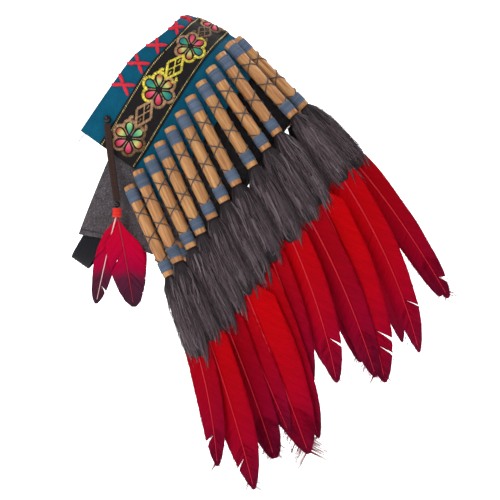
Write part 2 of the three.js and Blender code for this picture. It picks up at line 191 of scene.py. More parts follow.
# Studio sheet and floor
# A matt white paper sheet stands behind the headdress and a matt floor lies under it.
# A round white wall closes the studio off. It gives no light, and only the camera sees it.
SHEET_REACH, SHEET_BEHIND, FLOOR_DROP = 10.0, 3.0, 1.8
WALL_RADIUS, WALL_PANELS = 12.0, 64
TURN = 2 * math.pi

paper = Paint("studio_paper", Roughness=0.95, Emission_Color=(1, 1, 1, 1), Emission_Strength=0.95)
paper.finish(dye(250, 250, 250))
square = np.array([(-1, -1), (1, -1), (1, 1), (-1, 1)])
wall_angles = np.linspace(0, TURN, WALL_PANELS, endpoint=False)
rim = np.stack([np.cos(wall_angles), np.sin(wall_angles)], -1) * WALL_RADIUS
panels = [(k, (k + 1) % WALL_PANELS, (k + 1) % WALL_PANELS + WALL_PANELS, k + WALL_PANELS)
          for k in range(WALL_PANELS)]
stage_shapes = {
    "backdrop": ([(x, SHEET_BEHIND, z) for x, z in square * SHEET_REACH], [(0, 1, 2, 3)]),
    "floor": ([(x, y, -FLOOR_DROP) for x, y in square * WALL_RADIUS], [(0, 1, 2, 3)]),
    "round_wall": ([(x, y, z) for z in (-WALL_RADIUS, WALL_RADIUS) for x, y in rim], panels),
}
for stage_name, (corners, faces) in stage_shapes.items():
    sheet_mesh = bpy.data.meshes.new(stage_name)
    sheet_mesh.from_pydata(corners, [], faces)
    sheet_mesh.materials.append(paper.material)
    sheet_piece = bpy.data.objects.new(stage_name, sheet_mesh)
    lights = stage_name != "round_wall"
    sheet_piece.visible_diffuse = sheet_piece.visible_glossy = sheet_piece.visible_shadow = lights
    bpy.context.scene.collection.objects.link(sheet_piece)
    sheet_piece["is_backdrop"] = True

# Ear drops
# A black bead on each side of the band carries a doubled suede lace, a knot bead, a red thread wrap
# and two small dyed feathers. They hang straight down, and the far one's feathers lie closer together.
MM = 0.001


def unit(vectors):
    """Each vector divided by its length."""
    return vectors / np.maximum(np.linalg.norm(vectors, axis=-1, keepdims=True), 1e-12)


def ring_angles(sides):
    """Angles of a ring's points, evenly round it."""
    return TURN * np.arange(sides) / sides


def ring_faces(skins, rings, sides, hollow=False):
    """Quads between neighbour rings of each skin, and a flat face over each end or, when hollow, none."""
    step = np.arange(sides)
    after = (step + 1) % sides
    spans = rings if hollow else rings - 1
    low = np.arange(spans)[:, None] * sides
    high = (np.arange(1, spans + 1) % rings)[:, None] * sides
    quads = np.stack([low + step, low + after, high + after, high + step], -1).reshape(-1, 4)
    first = np.arange(skins)[:, None, None] * rings * sides
    faces = [(quads + first).reshape(-1, 4)]
    if not hollow:
        ends = np.stack([step[::-1], (rings - 1) * sides + step])
        faces.append((ends + first).reshape(-1, sides))
    return faces


def loft(rings, colour, lay=None, hollow=False):
    """Closed skins through rings of points, given as an array of skins, rings, sides and 3."""
    skins, count, sides, _ = rings.shape
    shades = np.broadcast_to(colour, (skins, count, sides, 4))
    lay = rings if lay is None else lay
    return {"points": rings.reshape(-1, 3), "faces": ring_faces(skins, count, sides, hollow),
            "lay": lay.reshape(-1, 3), "dye": shades.reshape(-1, 4)}


def strands(paths, width, depth, normals, sides, colour, swell=1.0):
    """Rings carried along paths: centre + side cos(turn) width + lift sin(turn) depth, times swell."""
    ahead = unit(np.gradient(paths, axis=1))
    side = unit(np.cross(np.broadcast_to(normals, paths.shape), ahead))
    lift = np.cross(ahead, side)
    turn = ring_angles(sides)
    across = np.broadcast_to(width, paths.shape[:2])[..., None] * np.cos(turn) * swell
    high = np.broadcast_to(depth, paths.shape[:2])[..., None] * np.sin(turn) * swell
    rings = paths[:, :, None] + side[:, :, None] * across[..., None] + lift[:, :, None] * high[..., None]
    steps = np.linalg.norm(np.diff(paths, axis=1, prepend=paths[:, :1]), axis=-1)
    along = np.broadcast_to(np.cumsum(steps, axis=1)[..., None], across.shape)
    return loft(rings, colour, np.stack([across, along, high], -1))


def turned(profile, origin, axes, sides, colour, hollow=False):
    """Radii and heights turned about the first axis: origin + axis height + radius (a cos + b sin)."""
    radius, height = np.array(profile, float).T
    axis, first, second = (np.array(vector, float) for vector in axes)
    turn = ring_angles(sides)
    local = np.stack([radius[:, None] * np.cos(turn), radius[:, None] * np.sin(turn),
                      np.broadcast_to(height[:, None], (len(radius), sides))], -1)[None]
    rings = (np.array(origin) + local[..., :1] * first + local[..., 1:2] * second + local[..., 2:] * axis)
    return loft(rings, colour, local, hollow)


def shell(outer, inner, lay, colour):
    """A closed sheet between two grids of points: both skins and the rim, turned to face outwards."""
    rows, columns, _ = outer.shape
    index = np.arange(rows * columns).reshape(rows, columns)
    under = index + rows * columns

    def quads(a, b, c, d):
        return np.stack([a.ravel(), b.ravel(), c.ravel(), d.ravel()], -1)

    faces = np.concatenate([
        quads(index[:-1, :-1], index[1:, :-1], index[1:, 1:], index[:-1, 1:]),
        quads(under[:-1, :-1], under[:-1, 1:], under[1:, 1:], under[1:, :-1]),
        quads(index[:-1, 0], under[:-1, 0], under[1:, 0], index[1:, 0]),
        quads(index[:-1, -1], index[1:, -1], under[1:, -1], under[:-1, -1]),
        quads(index[0, :-1], index[0, 1:], under[0, 1:], under[0, :-1]),
        quads(index[-1, :-1], under[-1, :-1], under[-1, 1:], index[-1, 1:]),
    ])
    points = np.concatenate([outer.reshape(-1, 3), inner.reshape(-1, 3)])
    a, b, c, d = (points[faces[:, k]] - points.mean(0) for k in range(4))
    volume = np.einsum("ij,ij->", a, np.cross(b, c)) + np.einsum("ij,ij->", a, np.cross(c, d))
    if volume < 0:
        faces = faces[:, ::-1]
    lay = np.broadcast_to(lay, outer.shape).reshape(-1, 3)
    shades = np.broadcast_to(colour, (rows, columns, 4)).reshape(-1, 4)
    return {"points": points, "faces": [faces], "lay": np.tile(lay, (2, 1)), "dye": np.tile(shades, (2, 1))}


def placed(shape, origin, axes):
    """A shape moved from its own axes into the frame: origin + x right + y up + z outward."""
    return {**shape, "points": np.asarray(origin) + shape["points"] @ np.asarray(axes)}


def piece(name, parts, stands_for=(), crease=55):
    """One object from shapes and their materials, laid end to end in one mesh that rides on the body."""
    mesh = bpy.data.meshes.new(name)
    corners, totals, paints, materials = [], [], [], []
    count = 0
    for shape, material in parts:
        if material not in materials:
            materials.append(material)
            mesh.materials.append(material)
        for faces in shape["faces"]:
            corners.append((faces + count).ravel())
            totals.append(np.full(len(faces), faces.shape[1]))
            paints.append(np.full(len(faces), materials.index(material)))
        count += len(shape["points"])
    corners, totals, paints = (np.concatenate(values).astype(np.int32)
                               for values in (corners, totals, paints))
    mesh.vertices.add(count)
    mesh.vertices.foreach_set("co", np.concatenate([shape["points"] for shape, _ in parts]).ravel())
    mesh.loops.add(len(corners))
    mesh.loops.foreach_set("vertex_index", corners)
    mesh.polygons.add(len(totals))
    mesh.polygons.foreach_set("loop_start", np.cumsum(totals) - totals)
    mesh.polygons.foreach_set("material_index", paints)
    mesh.polygons.foreach_set("use_smooth", np.ones(len(totals), bool))
    for attribute, kind, field in (("lay", "FLOAT_VECTOR", "vector"), ("dye", "FLOAT_COLOR", "color")):
        layer = mesh.attributes.new(attribute, kind, "POINT")
        values = np.concatenate([shape[attribute] for shape, _ in parts])
        layer.data.foreach_set(field, values.ravel().astype(np.float32))
    mesh.update(calc_edges=True)
    if crease:
        mesh.set_sharp_from_angle(angle=math.radians(crease))
    thing = bpy.data.objects.new(name, mesh)
    bpy.context.scene.collection.objects.link(thing)
    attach(thing, "root")
    if stands_for:
        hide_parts(*stands_for)
    return thing


def smooth(value):
    """The smooth step from 0 to 1."""
    held = np.clip(value, 0, 1)
    return held * held * (3 - 2 * held)


BARB_SWEEP = 1.5
BARB_STEP = 3.2 * MM
FLANK_STEPS = np.array([0, 0.14, 0.34, 0.56, 0.78, 0.93, 1.0])
VANE_THICKNESS = 0.5 * MM
LOOSE_BARB_RADIUS = 0.42 * MM


def swept(root, s, half, reach, least=0.0):
    """How far along its line a barb has come at s: root + sweep s half(0.5) / reach sqrt(1 - root)."""
    return root + BARB_SWEEP * s * half(0.5) / reach * np.sqrt(np.maximum(1 - root, least))


def flank_strips(line, half, reach, flank, cuts, shade, bow, draws):
    """One flank of a feather, in closed strips between cuts that open towards the edge.

    point = centre(t) + wide(t) s half(t) flank + lift(t) (ripple - bow s^2 half), where t runs on
    by the barbs' sweep times s, and a strip's ends draw back by its cut's gap times s.
    """
    shapes = []
    s = FLANK_STEPS[None, :]
    for (first, gap_before), (last, gap_after) in zip(cuts[:-1], cuts[1:]):
        steps = max(3, int((last - first) * reach / BARB_STEP))
        pull = np.clip((s - 0.2) / 0.8, 0, 1) ** 1.2
        start = first + gap_before * pull
        root = start + np.linspace(0, 1, steps + 1)[:, None] * (last - gap_after * pull - start)
        reached = np.minimum(swept(root, s, half, reach), 1.0)
        centre, wide, lift = line(reached)
        teeth = 1 + 0.025 * np.sin(root * reach / MM * 1.9 + draws.random() * TURN) * s
        width = half(reached) * teeth
        ripple = (0.35 * MM * np.sin(root * reach / MM * 0.55 + draws.random() * TURN)
                  + 0.05 * MM * draws.normal() * smooth((s - 0.3) / 0.7)) * s
        middle = (centre + wide * (flank * s * width)[..., None]
                  + lift * (ripple - bow * s ** 2 * width)[..., None])
        thick = lift * (VANE_THICKNESS * (0.5 - 0.3 * s) + 0 * root)[..., None]
        lay = np.stack([flank * s * width, root * reach, 0 * root + 0 * s], -1)
        tint = 1 + 0.025 * draws.normal()
        colour = shade(reached, s + 0 * root) * np.array([tint, tint, tint, 1.0])
        shapes.append(shell(middle + thick, middle - thick, lay, colour))
    return shapes


def parted(start, number, wide_gap, notches, draws):
    """Places along a flank where its barbs have parted, with the gap at the edge as a share."""
    places = draws.uniform(start + 0.12, 0.9, number)
    gaps = wide_gap * draws.random(number) ** 3
    places, gaps = (np.concatenate(pair) for pair in ((places, notches[:, 0]), (gaps, notches[:, 1])))
    order = np.argsort(places)
    return [(start, 0.0), *zip(places[order], gaps[order]), (1.0, 0.0)]


def loose_barbs(line, half, reach, flank, roots, begin, end, shade, draws):
    """Thin barbs beside a flank: s runs from each barb's begin to its end, past the edge at 1."""
    share = np.linspace(0, 1, 4)[None, :]
    count = len(roots)
    s = begin[:, None] + (end - begin)[:, None] * share
    t = swept(roots[:, None], s, half, reach, 0.12)
    t = t + (draws.normal(0, 0.004, count)[:, None] + 0.008) * share ** 2
    centre, wide, lift = line(t)
    across = flank * s * half(np.minimum(t, 0.9))
    float_up = 0.3 * MM + draws.normal(0, 0.5 * MM, count)[:, None] * share ** 2
    paths = centre + wide * across[..., None] + lift * float_up[..., None]
    thin = LOOSE_BARB_RADIUS * np.maximum(1 - share, 0.35) * draws.uniform(0.7, 1.3, count)[:, None]
    shape = strands(paths, thin, thin * 0.6, lift, 3, shade(np.minimum(t, 1), s)[:, :, None])
    lay = np.stack([across, t * reach, 0 * t], -1)
    return {**shape, "lay": np.repeat(lay.reshape(-1, 3), 3, axis=0)}


def ramp(stops):
    """A colour that changes along a share from 0 to 1, through the stops' linear colours."""
    places = [place for place, _ in stops]
    colours = np.array([dye(*screen) for _, screen in stops])
    return lambda share: np.stack([np.interp(share, places, colours[:, k]) for k in range(4)], -1)


feather_paint = Paint("dyed_feather", Roughness=0.65, Specular_IOR_Level=0.03)
barbs = feather_paint.noise((260, 1500, 1), detail=3)
streaks = feather_paint.noise((45, 260, 1), detail=3)
feather_colour = feather_paint.mix(1.0, feather_paint.dyed(), barbs * 0.45 + streaks * 0.6 + 0.45,
                                   "MULTIPLY")
feather_paint.finish(feather_colour, barbs + streaks, 0.0006, 0.5, streaks * 0.3 + 0.4)

quill_paint = Paint("dyed_quill", Roughness=0.4, Specular_IOR_Level=0.25)
quill_streaks = quill_paint.noise((300, 60, 300)) * 0.3
quill_paint.finish(quill_paint.mix(quill_streaks, quill_paint.dyed(), dye(226, 70, 90)))

suede_paint = Paint("suede_lace", Roughness=0.95, Specular_IOR_Level=0.1)
suede_nap = suede_paint.noise((900, 500, 900), detail=4)
suede_paint.finish(suede_paint.mix(suede_nap, dye(34, 23, 21), dye(70, 52, 48)), suede_nap, 0.0008, 0.7)

bead_paint = Paint("black_glass", Roughness=0.22, Specular_IOR_Level=0.35)
bead_paint.finish(bead_paint.mix(bead_paint.noise((300, 300, 300)), dye(10, 8, 9), dye(24, 19, 21)))

thread_paint = Paint("wound_thread", Roughness=0.8, Specular_IOR_Level=0.2)
thread_fibres = thread_paint.noise((500, 500, 2600), detail=3)
thread_shadow = (thread_fibres * 2.2 - 0.8).held() * 0.35
thread_paint.finish(thread_paint.mix(thread_shadow, thread_paint.dyed(), dye(40, 40, 46)),
                    thread_fibres, 0.0004, 0.8)

LACE_WIDTH = 7 * MM
LACE_THICKNESS = 3 * MM
LACE_ROUTE = np.array([(0, 0, -4.6), (1.4, 0, -18), (3, 0, -33), (5, 0, -49), (7.2, 0, -65),
                       (9.6, 0, -81)]) * MM
BEAD_PROFILE = [(0.02, -1), (0.35, -0.94), (0.68, -0.73), (0.9, -0.44), (1, 0), (0.9, 0.44), (0.68, 0.73),
                (0.35, 0.94), (0.02, 1)]
DROP_WRAP_RADIUS = 4.4 * MM
DROP_WRAP_HEIGHT = 9 * MM
DROP_FEATHERS = [
    {"sway": 17, "reach": 92, "half": 18.5, "layer": -1.6},
    {"sway": -21, "reach": 89, "half": 11.5, "layer": 1.6},
]
DROP_OUTLINE = [(0, 0.15), (0.1, 0.38), (0.22, 0.74), (0.38, 1), (0.52, 1), (0.7, 0.84), (0.84, 0.66),
                (0.94, 0.42), (1, 0.12)]
UPRIGHT = ((0, 0, 1), (1, 0, 0), (0, 1, 0))
WRAP_COILS = 9
FAR_DROP = {"sway": 0.5, "half": 0.72, "reach": 0.94}


def glass_bead(node, width_axis, colour):
    """A bead turned about its upright axis to fit its CAD node's box: its object, middle and half size."""
    low, high = (np.array(corner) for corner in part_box(node))
    middle, size = (low + high) / 2, (high - low) / 2
    profile = [(radius * size[width_axis], height * size[2]) for radius, height in BEAD_PROFILE]
    kind, label = node.rsplit("_", 1)
    shape = turned(profile, middle, UPRIGHT, 24, colour)
    bead = piece(f"{kind}_of_glass_{label}", [(shape, bead_paint.material)], [node])
    return bead, middle, size


def through(marks, count):
    """Points evenly along a chain of marks: each coordinate runs straight from mark to mark."""
    shares = np.linspace(0, len(marks) - 1, count)
    return np.stack([np.interp(shares, np.arange(len(marks)), marks[:, k]) for k in range(3)], -1)


def wound(radius, low, high, coils):
    """Profile of a thread wound tightly: each coil a small ridge, on a sleeve that closes inside."""
    coil = (high - low) / coils
    starts = low + coil * np.arange(coils)
    ridges = np.stack([np.stack([np.full(coils, radius - 0.45 * MM), starts], -1),
                       np.stack([np.full(coils, radius), starts + 0.3 * coil], -1),
                       np.stack([np.full(coils, radius), starts + 0.7 * coil], -1)], 1).reshape(-1, 2)
    sleeve = radius - 1.1 * MM
    return [(sleeve, low), *ridges.tolist(), (radius - 0.25 * MM, high), (sleeve, high)]


def coil_tones_with_groove_shade(colour, coils, draws):
    """Colours of the rings of a wound thread: painted shade darkens its grooves, and each coil is a little
    different in tone.
    """
    coil_and_groove_shade_tones = draws.uniform(0.8, 1.15, coils)[:, None] * np.array([0.4, 1.0, 0.95])
    # The groove rings get 0.4 of the colour as painted shade; the coils' random tones are the thread's own.
    coil_and_groove_shade_tones = np.concatenate([[0.4], coil_and_groove_shade_tones.ravel(), [0.4, 0.4]])[None, :, None, None]
    return np.array(colour) * np.where(np.arange(4) < 3, coil_and_groove_shade_tones, 1.0)


def drop_line(row, mirror):
    """Line of a small feather: x = sway t^0.9, z = 3 mm above the wrap's foot - reach t."""

    def line(t):
        centre = np.stack([row["sway"] * MM * t ** 0.9,
                           mirror * row["layer"] * MM * np.minimum(1, t * 4) + 0 * t,
                           -DROP_WRAP_HEIGHT + 3 * MM - t * row["reach"] * MM], -1)
        wide = np.broadcast_to([1.0, 0.0, 0.0], centre.shape)
        lift = np.broadcast_to([0.0, -mirror, 0.0], centre.shape)
        return centre, wide, lift

    return line


NO_NOTCH = np.zeros((0, 2))
drop_shade = ramp([(0, (186, 4, 36)), (0.35, (176, 0, 46)), (0.58, (150, 2, 50)), (0.68, (84, 24, 48)),
                   (1, (54, 30, 44))])
for side, label in ((1, "near"), (-1, "far")):
    hung = glass_bead("drop_bead_" + label, 2, dye(20, 18, 20))[1]
    route = through(LACE_ROUTE, 31) + hung
    groove = 1 - 0.4 * np.exp(-(np.cos(ring_angles(24)) / 0.22) ** 2)
    lace = piece("suede_lace_" + label, [(strands(
        route[None], LACE_WIDTH / 2, LACE_THICKNESS / 2, (0, -1, 0), 24, dye(60, 42, 40), groove),
        suede_paint.material)], ["lace_" + label])
    knot, knot_middle, knot_size = glass_bead("knot_bead_" + label, 0, dye(30, 20, 20))
    collar = knot_middle - (0, 0, knot_size[2] + 0.3 * MM)
    draws = np.random.default_rng(40 + side)
    parts = [(turned(wound(DROP_WRAP_RADIUS, -DROP_WRAP_HEIGHT, 0, WRAP_COILS), collar, UPRIGHT, 28,
                     coil_tones_with_groove_shade(dye(250, 50, 38), WRAP_COILS, draws), hollow=True), thread_paint.material),
             (turned([(0.02 * MM, -DROP_WRAP_HEIGHT), (3.6 * MM, -DROP_WRAP_HEIGHT), (3.6 * MM, -0.4 * MM),
                      (0.02 * MM, -0.2 * MM)], collar, UPRIGHT, 16, dye(150, 20, 25)), thread_paint.material)]
    for row in DROP_FEATHERS:
        if side < 0:
            row = {**row, **{name: row[name] * share for name, share in FAR_DROP.items()}}
        drop_row_line = drop_line(row, side)

        def drop_half(t, row=row):
            return row["half"] * MM * np.interp(t, *zip(*DROP_OUTLINE))

        def drop_dye(t, s):
            edge = smooth((t - 0.55 - 0.1 * s) / 0.12)[..., None]
            dark = 0.1 * edge * np.array(dye(60, 35, 50))
            return drop_shade(np.clip(t - 0.04 * s, 0, 1)) * (1 - 0.1 * edge) + dark

        for flank in (1, -1):
            for shape in flank_strips(drop_row_line, drop_half, row["reach"] * MM, flank,
                                      parted(0.0, 2, 0.02, NO_NOTCH, draws), drop_dye, 0.06, draws):
                parts.append((placed(shape, collar, np.eye(3)), feather_paint.material))
        quill_shares = np.linspace(0.02, 0.95, 24)
        centre, _, lift = drop_row_line(quill_shares)
        quill = strands((centre + lift * 0.45 * MM)[None],
                        np.interp(quill_shares, [0, 1], [0.8 * MM, 0.25 * MM]),
                        np.interp(quill_shares, [0, 1], [0.7 * MM, 0.25 * MM]), (0, -side, 0), 8,
                        dye(226, 196, 190) if row["sway"] < 0 else dye(150, 14, 44))
        parts.append((placed(quill, collar, np.eye(3)), quill_paint.material))
    feathers = piece("small_feathers_" + label, parts, ["drop_feathers_" + label], crease=0)

# Teal felt band
# The outside of the headdress is one strip of teal wool felt, bent round the forehead and pinched
# into a sharp fold at its front, where it hangs. It is cut, not hemmed.
LOOP_DEPTH = 280 * MM
LOOP_HALF_WIDTH = 50 * MM
LOOP_FRONT_SHIFT = 0.22
LOOP_TILT = math.radians(125)
FOLD_NOSE = 8 * MM
FOLD_SPREAD = 0.12
FOLD_SINK = 0.4 * MM
FOLD_TO_PEG = 29 * MM
BROW_DIP, DIP_START, DIP_END = 11.5 * MM, 45 * MM, 105 * MM
FOLD_RETREAT, FOLD_FADE = 9.5 * MM, 24 * MM
BAND_BROW, BAND_CROWN = 73 * MM, 34 * MM
FIRST_TUBE_ARC = 13 * MM
TUBE_PITCH = 17.4 * MM
TUBE_LEANS = np.radians([10.6, 12.4, 18.6, 20.4, 23.0, 27.0, 28.2, 29.4, 30.2, 30.2, 31.8, 30.0])
TUBE_SPLAYS = np.radians([3, 3, 3, 3, 3, 3, 3, 3, 3, 4, 7, 10])
TUBE_ARCS = FIRST_TUBE_ARC + TUBE_PITCH * np.arange(len(TUBE_LEANS))

plan_angles = np.linspace(0, math.pi, 2001)
PLAN_ALONG = (LOOP_DEPTH * (1 - np.cos(plan_angles)) / 2
              - FOLD_NOSE * np.exp(-(plan_angles / FOLD_SPREAD) ** 2))
PLAN_OUT = LOOP_HALF_WIDTH * np.sin(plan_angles) * (1 + LOOP_FRONT_SHIFT * np.cos(plan_angles))
PLAN_ARC = np.concatenate([[0], np.cumsum(np.hypot(np.diff(PLAN_ALONG), np.diff(PLAN_OUT)))])


def plan_point(arc):
    """Along and sideways at an arc length from the front fold; a negative arc is on the far half."""
    size = np.abs(arc)
    out = np.interp(size, PLAN_ARC, PLAN_OUT)
    return np.interp(size, PLAN_ARC, PLAN_ALONG), np.where(np.asarray(arc) < 0, out, -out)


def wall_middle(arc, height):
    """Middle of the felt: above 0 it leans and splays with the tubes, below 0 its front is cut away."""
    arc, height = np.broadcast_arrays(arc, height)
    size = np.abs(arc)
    along, side = plan_point(arc)
    lean = np.tan(np.interp(size, TUBE_ARCS, TUBE_LEANS))
    splay = np.tan(np.interp(size, TUBE_ARCS, TUBE_SPLAYS))
    outward = np.sign(side) * np.minimum(1, np.abs(side) / FIRST_TUBE_ARC)
    depth = (height / BAND_BROW) ** 2
    dip = BROW_DIP * (1 - smooth((size - DIP_START) / (DIP_END - DIP_START)))
    retreat = FOLD_RETREAT * np.exp(-(size / FOLD_FADE) ** 2) * depth
    crown = height >= 0
    return np.stack([along + np.where(crown, height * lean, retreat),
                     side + np.where(crown, height * splay * outward, 0),
                     height + np.where(crown, 0, dip * depth)], -1)


PEG = wall_middle(0.0, -FOLD_TO_PEG) + np.array([FOLD_SINK, 0, 0])


def tilted(points):
    """Directions of the loop turned as it hangs: x cos + z sin, y, z cos - x sin."""
    x, y, z = np.moveaxis(points, -1, 0)
    return np.stack([x * math.cos(LOOP_TILT) + z * math.sin(LOOP_TILT), y,
                     z * math.cos(LOOP_TILT) - x * math.sin(LOOP_TILT)], -1)


def hung_points(points):
    """Points of the loop in the frame, whose origin is the peg in the front fold."""
    return tilted(points - PEG)


def wall(arc, height, offset):
    """A point on the hanging felt: its middle plus an offset along the outward normal."""
    step = 1.5 * MM
    along = wall_middle(arc + step, height) - wall_middle(arc - step, height)
    up = wall_middle(arc, height + step) - wall_middle(arc, height - step)
    normal = unit(np.cross(along, up))
    return hung_points(wall_middle(arc, height) + normal * np.asarray(offset)[..., None])


def edged(low, high, step, soft):
    """Places from low to high, close together near both ends, where a cut edge is rounded."""
    margin = soft * np.array([0, 0.12, 0.4, 1.0])
    middle = np.linspace(low + soft, high - soft, max(2, int((high - low) / step)))
    return np.concatenate([low + margin[:-1], middle, high - margin[:-1][::-1]])


def soft_edge(place, low, high, soft):
    """How far a rounded edge draws a skin in: 1 on the edge, 0 from a soft width inside it."""
    gap = np.clip(np.minimum(place - low, high - place) / soft, 0, 1)
    return 1 - np.sqrt(np.maximum(1 - (1 - gap) ** 2, 0))


def rim_draw(across, along):
    """How far a sheet's rounded rim draws its skins in, from the place, ends and softness of both ways."""
    return np.maximum(soft_edge(*across), soft_edge(*along))


def felt_sheet(arcs, heights, inner, outer, draw, puff, colour):
    """A felt strip on the wall between two offsets, with rounded edges and low slow dents."""
    middle = (inner + outer) / 2
    dent = puff * (np.sin(arcs / MM * 0.11 + heights / MM * 0.07)
                   + np.sin(arcs / MM * 0.05 - heights / MM * 0.13))
    top = outer - (outer - middle) * draw + dent * (1 - draw)
    bottom = inner + (middle - inner) * draw
    lay = np.stack(np.broadcast_arrays(arcs, heights, 0 * arcs), -1)
    return shell(wall(arcs, heights, top), wall(arcs, heights, bottom), lay, colour)


BAND_HALF_LENGTH = 188 * MM
FELT_GAP, BAND_THICKNESS = 0.7 * MM, 2 * MM
BAND_FACE = FELT_GAP + BAND_THICKNESS
EDGE_SOFT = 1.1 * MM

teal_paint = Paint("teal_felt", Roughness=0.95, Specular_IOR_Level=0.1, Sheen_Weight=0.06)
teal_cloud = teal_paint.noise((90, 90, 90), detail=5)
teal_fuzz = teal_paint.noise((700, 600, 700), detail=5, rough=0.8)
teal_colour = teal_paint.mix((teal_cloud * 1.6 - 0.3).held(), dye(0, 66, 92), dye(4, 88, 116))
teal_colour = teal_paint.mix((teal_fuzz * 3 - 1.5).held() * 0.55, teal_colour, dye(40, 118, 142))
teal_paint.finish(teal_colour, teal_fuzz + teal_cloud * 0.5, 0.0012, 0.6)

band_arcs = edged(-BAND_HALF_LENGTH, BAND_HALF_LENGTH, 2.0 * MM, EDGE_SOFT)[:, None]
band_heights = edged(-BAND_BROW, BAND_CROWN, 2.6 * MM, EDGE_SOFT)[None, :]
band_draw = rim_draw((band_arcs, -BAND_HALF_LENGTH, BAND_HALF_LENGTH, EDGE_SOFT),
                     (band_heights, -BAND_BROW, BAND_CROWN, EDGE_SOFT))
band_arcs, band_heights = np.broadcast_arrays(band_arcs, band_heights)
teal_band = piece("teal_felt_band", [(felt_sheet(
    band_arcs, band_heights, FELT_GAP, BAND_FACE, band_draw, 0.1 * MM, dye(10, 96, 128)),
    teal_paint.material)], ["teal_band"])

# Woven trim
# A black ribbon with a raised floral jacquard is sewn along the band. Its flowers have six petals,
# with leaves between them, and a line of gold stitches runs inside each edge.
TRIM_TOP = -10.5 * MM
TRIM_WIDTH = 43.5 * MM
TRIM_DRIFT_FRONT, TRIM_DRIFT_EAR = -3 * MM, 4.2 * MM
TRIM_INNER = BAND_FACE + 0.3 * MM
TRIM_FACE = TRIM_INNER + 0.75 * MM
TRIM_SOFT = 0.5 * MM
BORDER_INSET = 2.6 * MM
PAD_SHARES = np.array([0.94, 1.0, 0.74, 0.34])
FLOWER_REPEAT = 56 * MM
FLOWER_MIDDLE = TRIM_TOP - TRIM_WIDTH / 2


def trim_drift(arc):
    """How far the ribbon lies towards the crown: it drifts from the front towards the ear."""
    return np.interp(np.abs(arc) / BAND_HALF_LENGTH, [0.28, 0.88], [TRIM_DRIFT_FRONT, TRIM_DRIFT_EAR])


trim_paint = Paint("black_ribbon", Roughness=0.75, Specular_IOR_Level=0.15)
ribs = trim_paint.node("SeparateXYZ", {}, {"Vector": trim_paint.lay((1, 1, 1))}, output="X")
rib_wave = (ribs * (TURN / 0.0011)).wave()
trim_weave = trim_paint.noise((1500, 350, 1), detail=3)
trim_light = (trim_weave * rib_wave * 2.2 - 0.35).held()
trim_paint.finish(trim_paint.mix(trim_light, dye(12, 10, 12), dye(44, 40, 42)),
                  rib_wave + trim_weave, 0.0005, 0.7)

trim_arcs = edged(-BAND_HALF_LENGTH, BAND_HALF_LENGTH, 2.4 * MM, TRIM_SOFT)[:, None]
trim_heights = edged(TRIM_TOP - TRIM_WIDTH, TRIM_TOP, 3.0 * MM, TRIM_SOFT)[None, :]
trim_draw = rim_draw((trim_arcs, -BAND_HALF_LENGTH, BAND_HALF_LENGTH, TRIM_SOFT),
                     (trim_heights, TRIM_TOP - TRIM_WIDTH, TRIM_TOP, TRIM_SOFT))
trim_arcs, trim_heights = np.broadcast_arrays(trim_arcs, trim_heights)
ribbon = felt_sheet(trim_arcs, trim_heights + trim_drift(trim_arcs), TRIM_INNER, TRIM_FACE, trim_draw, 0.0,
                    dye(30, 28, 28))

stitch_paint = Paint("raised_thread", Roughness=0.5, Specular_IOR_Level=0.3)
stitch_fibres = stitch_paint.noise((2200, 2200, 2200), detail=2)
stitch_shadow = (stitch_fibres * 2 - 0.7).held() * 0.35
stitch_paint.finish(stitch_paint.mix(stitch_shadow, stitch_paint.dyed(), dye(48, 30, 22)),
                    stitch_fibres, 0.0003, 0.6)


def pads(outlines, middles, lift, colours):
    """Raised pads on the ribbon: rings drawn from each outline to its middle, highest at the middle."""
    heights = np.array([-0.2 * MM, 0.1 * MM, 0.0, 0.0]) + np.array([0, 0, 0.85, 1.0]) * lift
    flat = middles[:, None, None] + (outlines - middles[:, None])[:, None] * PAD_SHARES[None, :, None, None]
    offsets = np.broadcast_to(TRIM_FACE + heights[None, :, None], flat.shape[:3])
    rings = wall(flat[..., 0], flat[..., 1] + trim_drift(flat[..., 0]), offsets)
    return loft(rings, colours, np.concatenate([flat, offsets[..., None]], -1))


def stitches(rows):
    """Short raised stitches, each from its arc, height, turn, length and width, and a linear colour."""
    rows = np.asarray(rows, float)
    around = ring_angles(6) + TURN / 12
    cos, sin = np.cos(rows[:, 2:3]), np.sin(rows[:, 2:3])
    x = rows[:, 3:4] / 2 * np.cos(around) * 1.12
    y = rows[:, 4:5] / 2 * np.sin(around) * 1.12
    outlines = rows[:, None, :2] + np.stack([x * cos - y * sin, x * sin + y * cos], -1)
    return pads(outlines, rows[:, :2], 0.45 * MM, rows[:, None, None, 5:9])


def row_of_stitches(start, end, length, width, slant, colour, spread, draws):
    """Stitches laid side by side along a line, square to it but for the slant."""
    start, end = np.array(start), np.array(end)
    span = np.linalg.norm(end - start)
    count = max(2, int(span / width))
    shares = (np.arange(count) + 0.5)[:, None] / count
    middles = start + (end - start) * shares
    turn = math.atan2(*(end - start)[::-1]) + math.pi / 2 + slant
    shade = np.array(colour) * (1 + spread * draws.normal(size=(count, 1)))
    return np.concatenate([middles, np.full((count, 1), turn), np.full((count, 1), length),
                           np.full((count, 1), width * 0.96), np.clip(shade, 0, 1)], 1)


def scallop(middle, heading, radius, opening, colour, draws):
    """A lobe of stitches round a petal's tip: an arc about it, open towards the flower."""
    count = int(radius * (TURN - opening) / (0.95 * MM))
    turns = heading + np.linspace(-1, 1, count) * (TURN - opening) / 2
    places = np.array(middle) + radius * np.stack([np.cos(turns), np.sin(turns)], -1)
    shade = np.array(colour) * (1 + 0.3 * draws.normal(size=(count, 1)))
    return np.concatenate([places, (turns + 0.25)[:, None], np.full((count, 1), 3.2 * MM),
                           np.full((count, 1), 0.9 * MM), np.clip(shade, 0, 1)], 1)


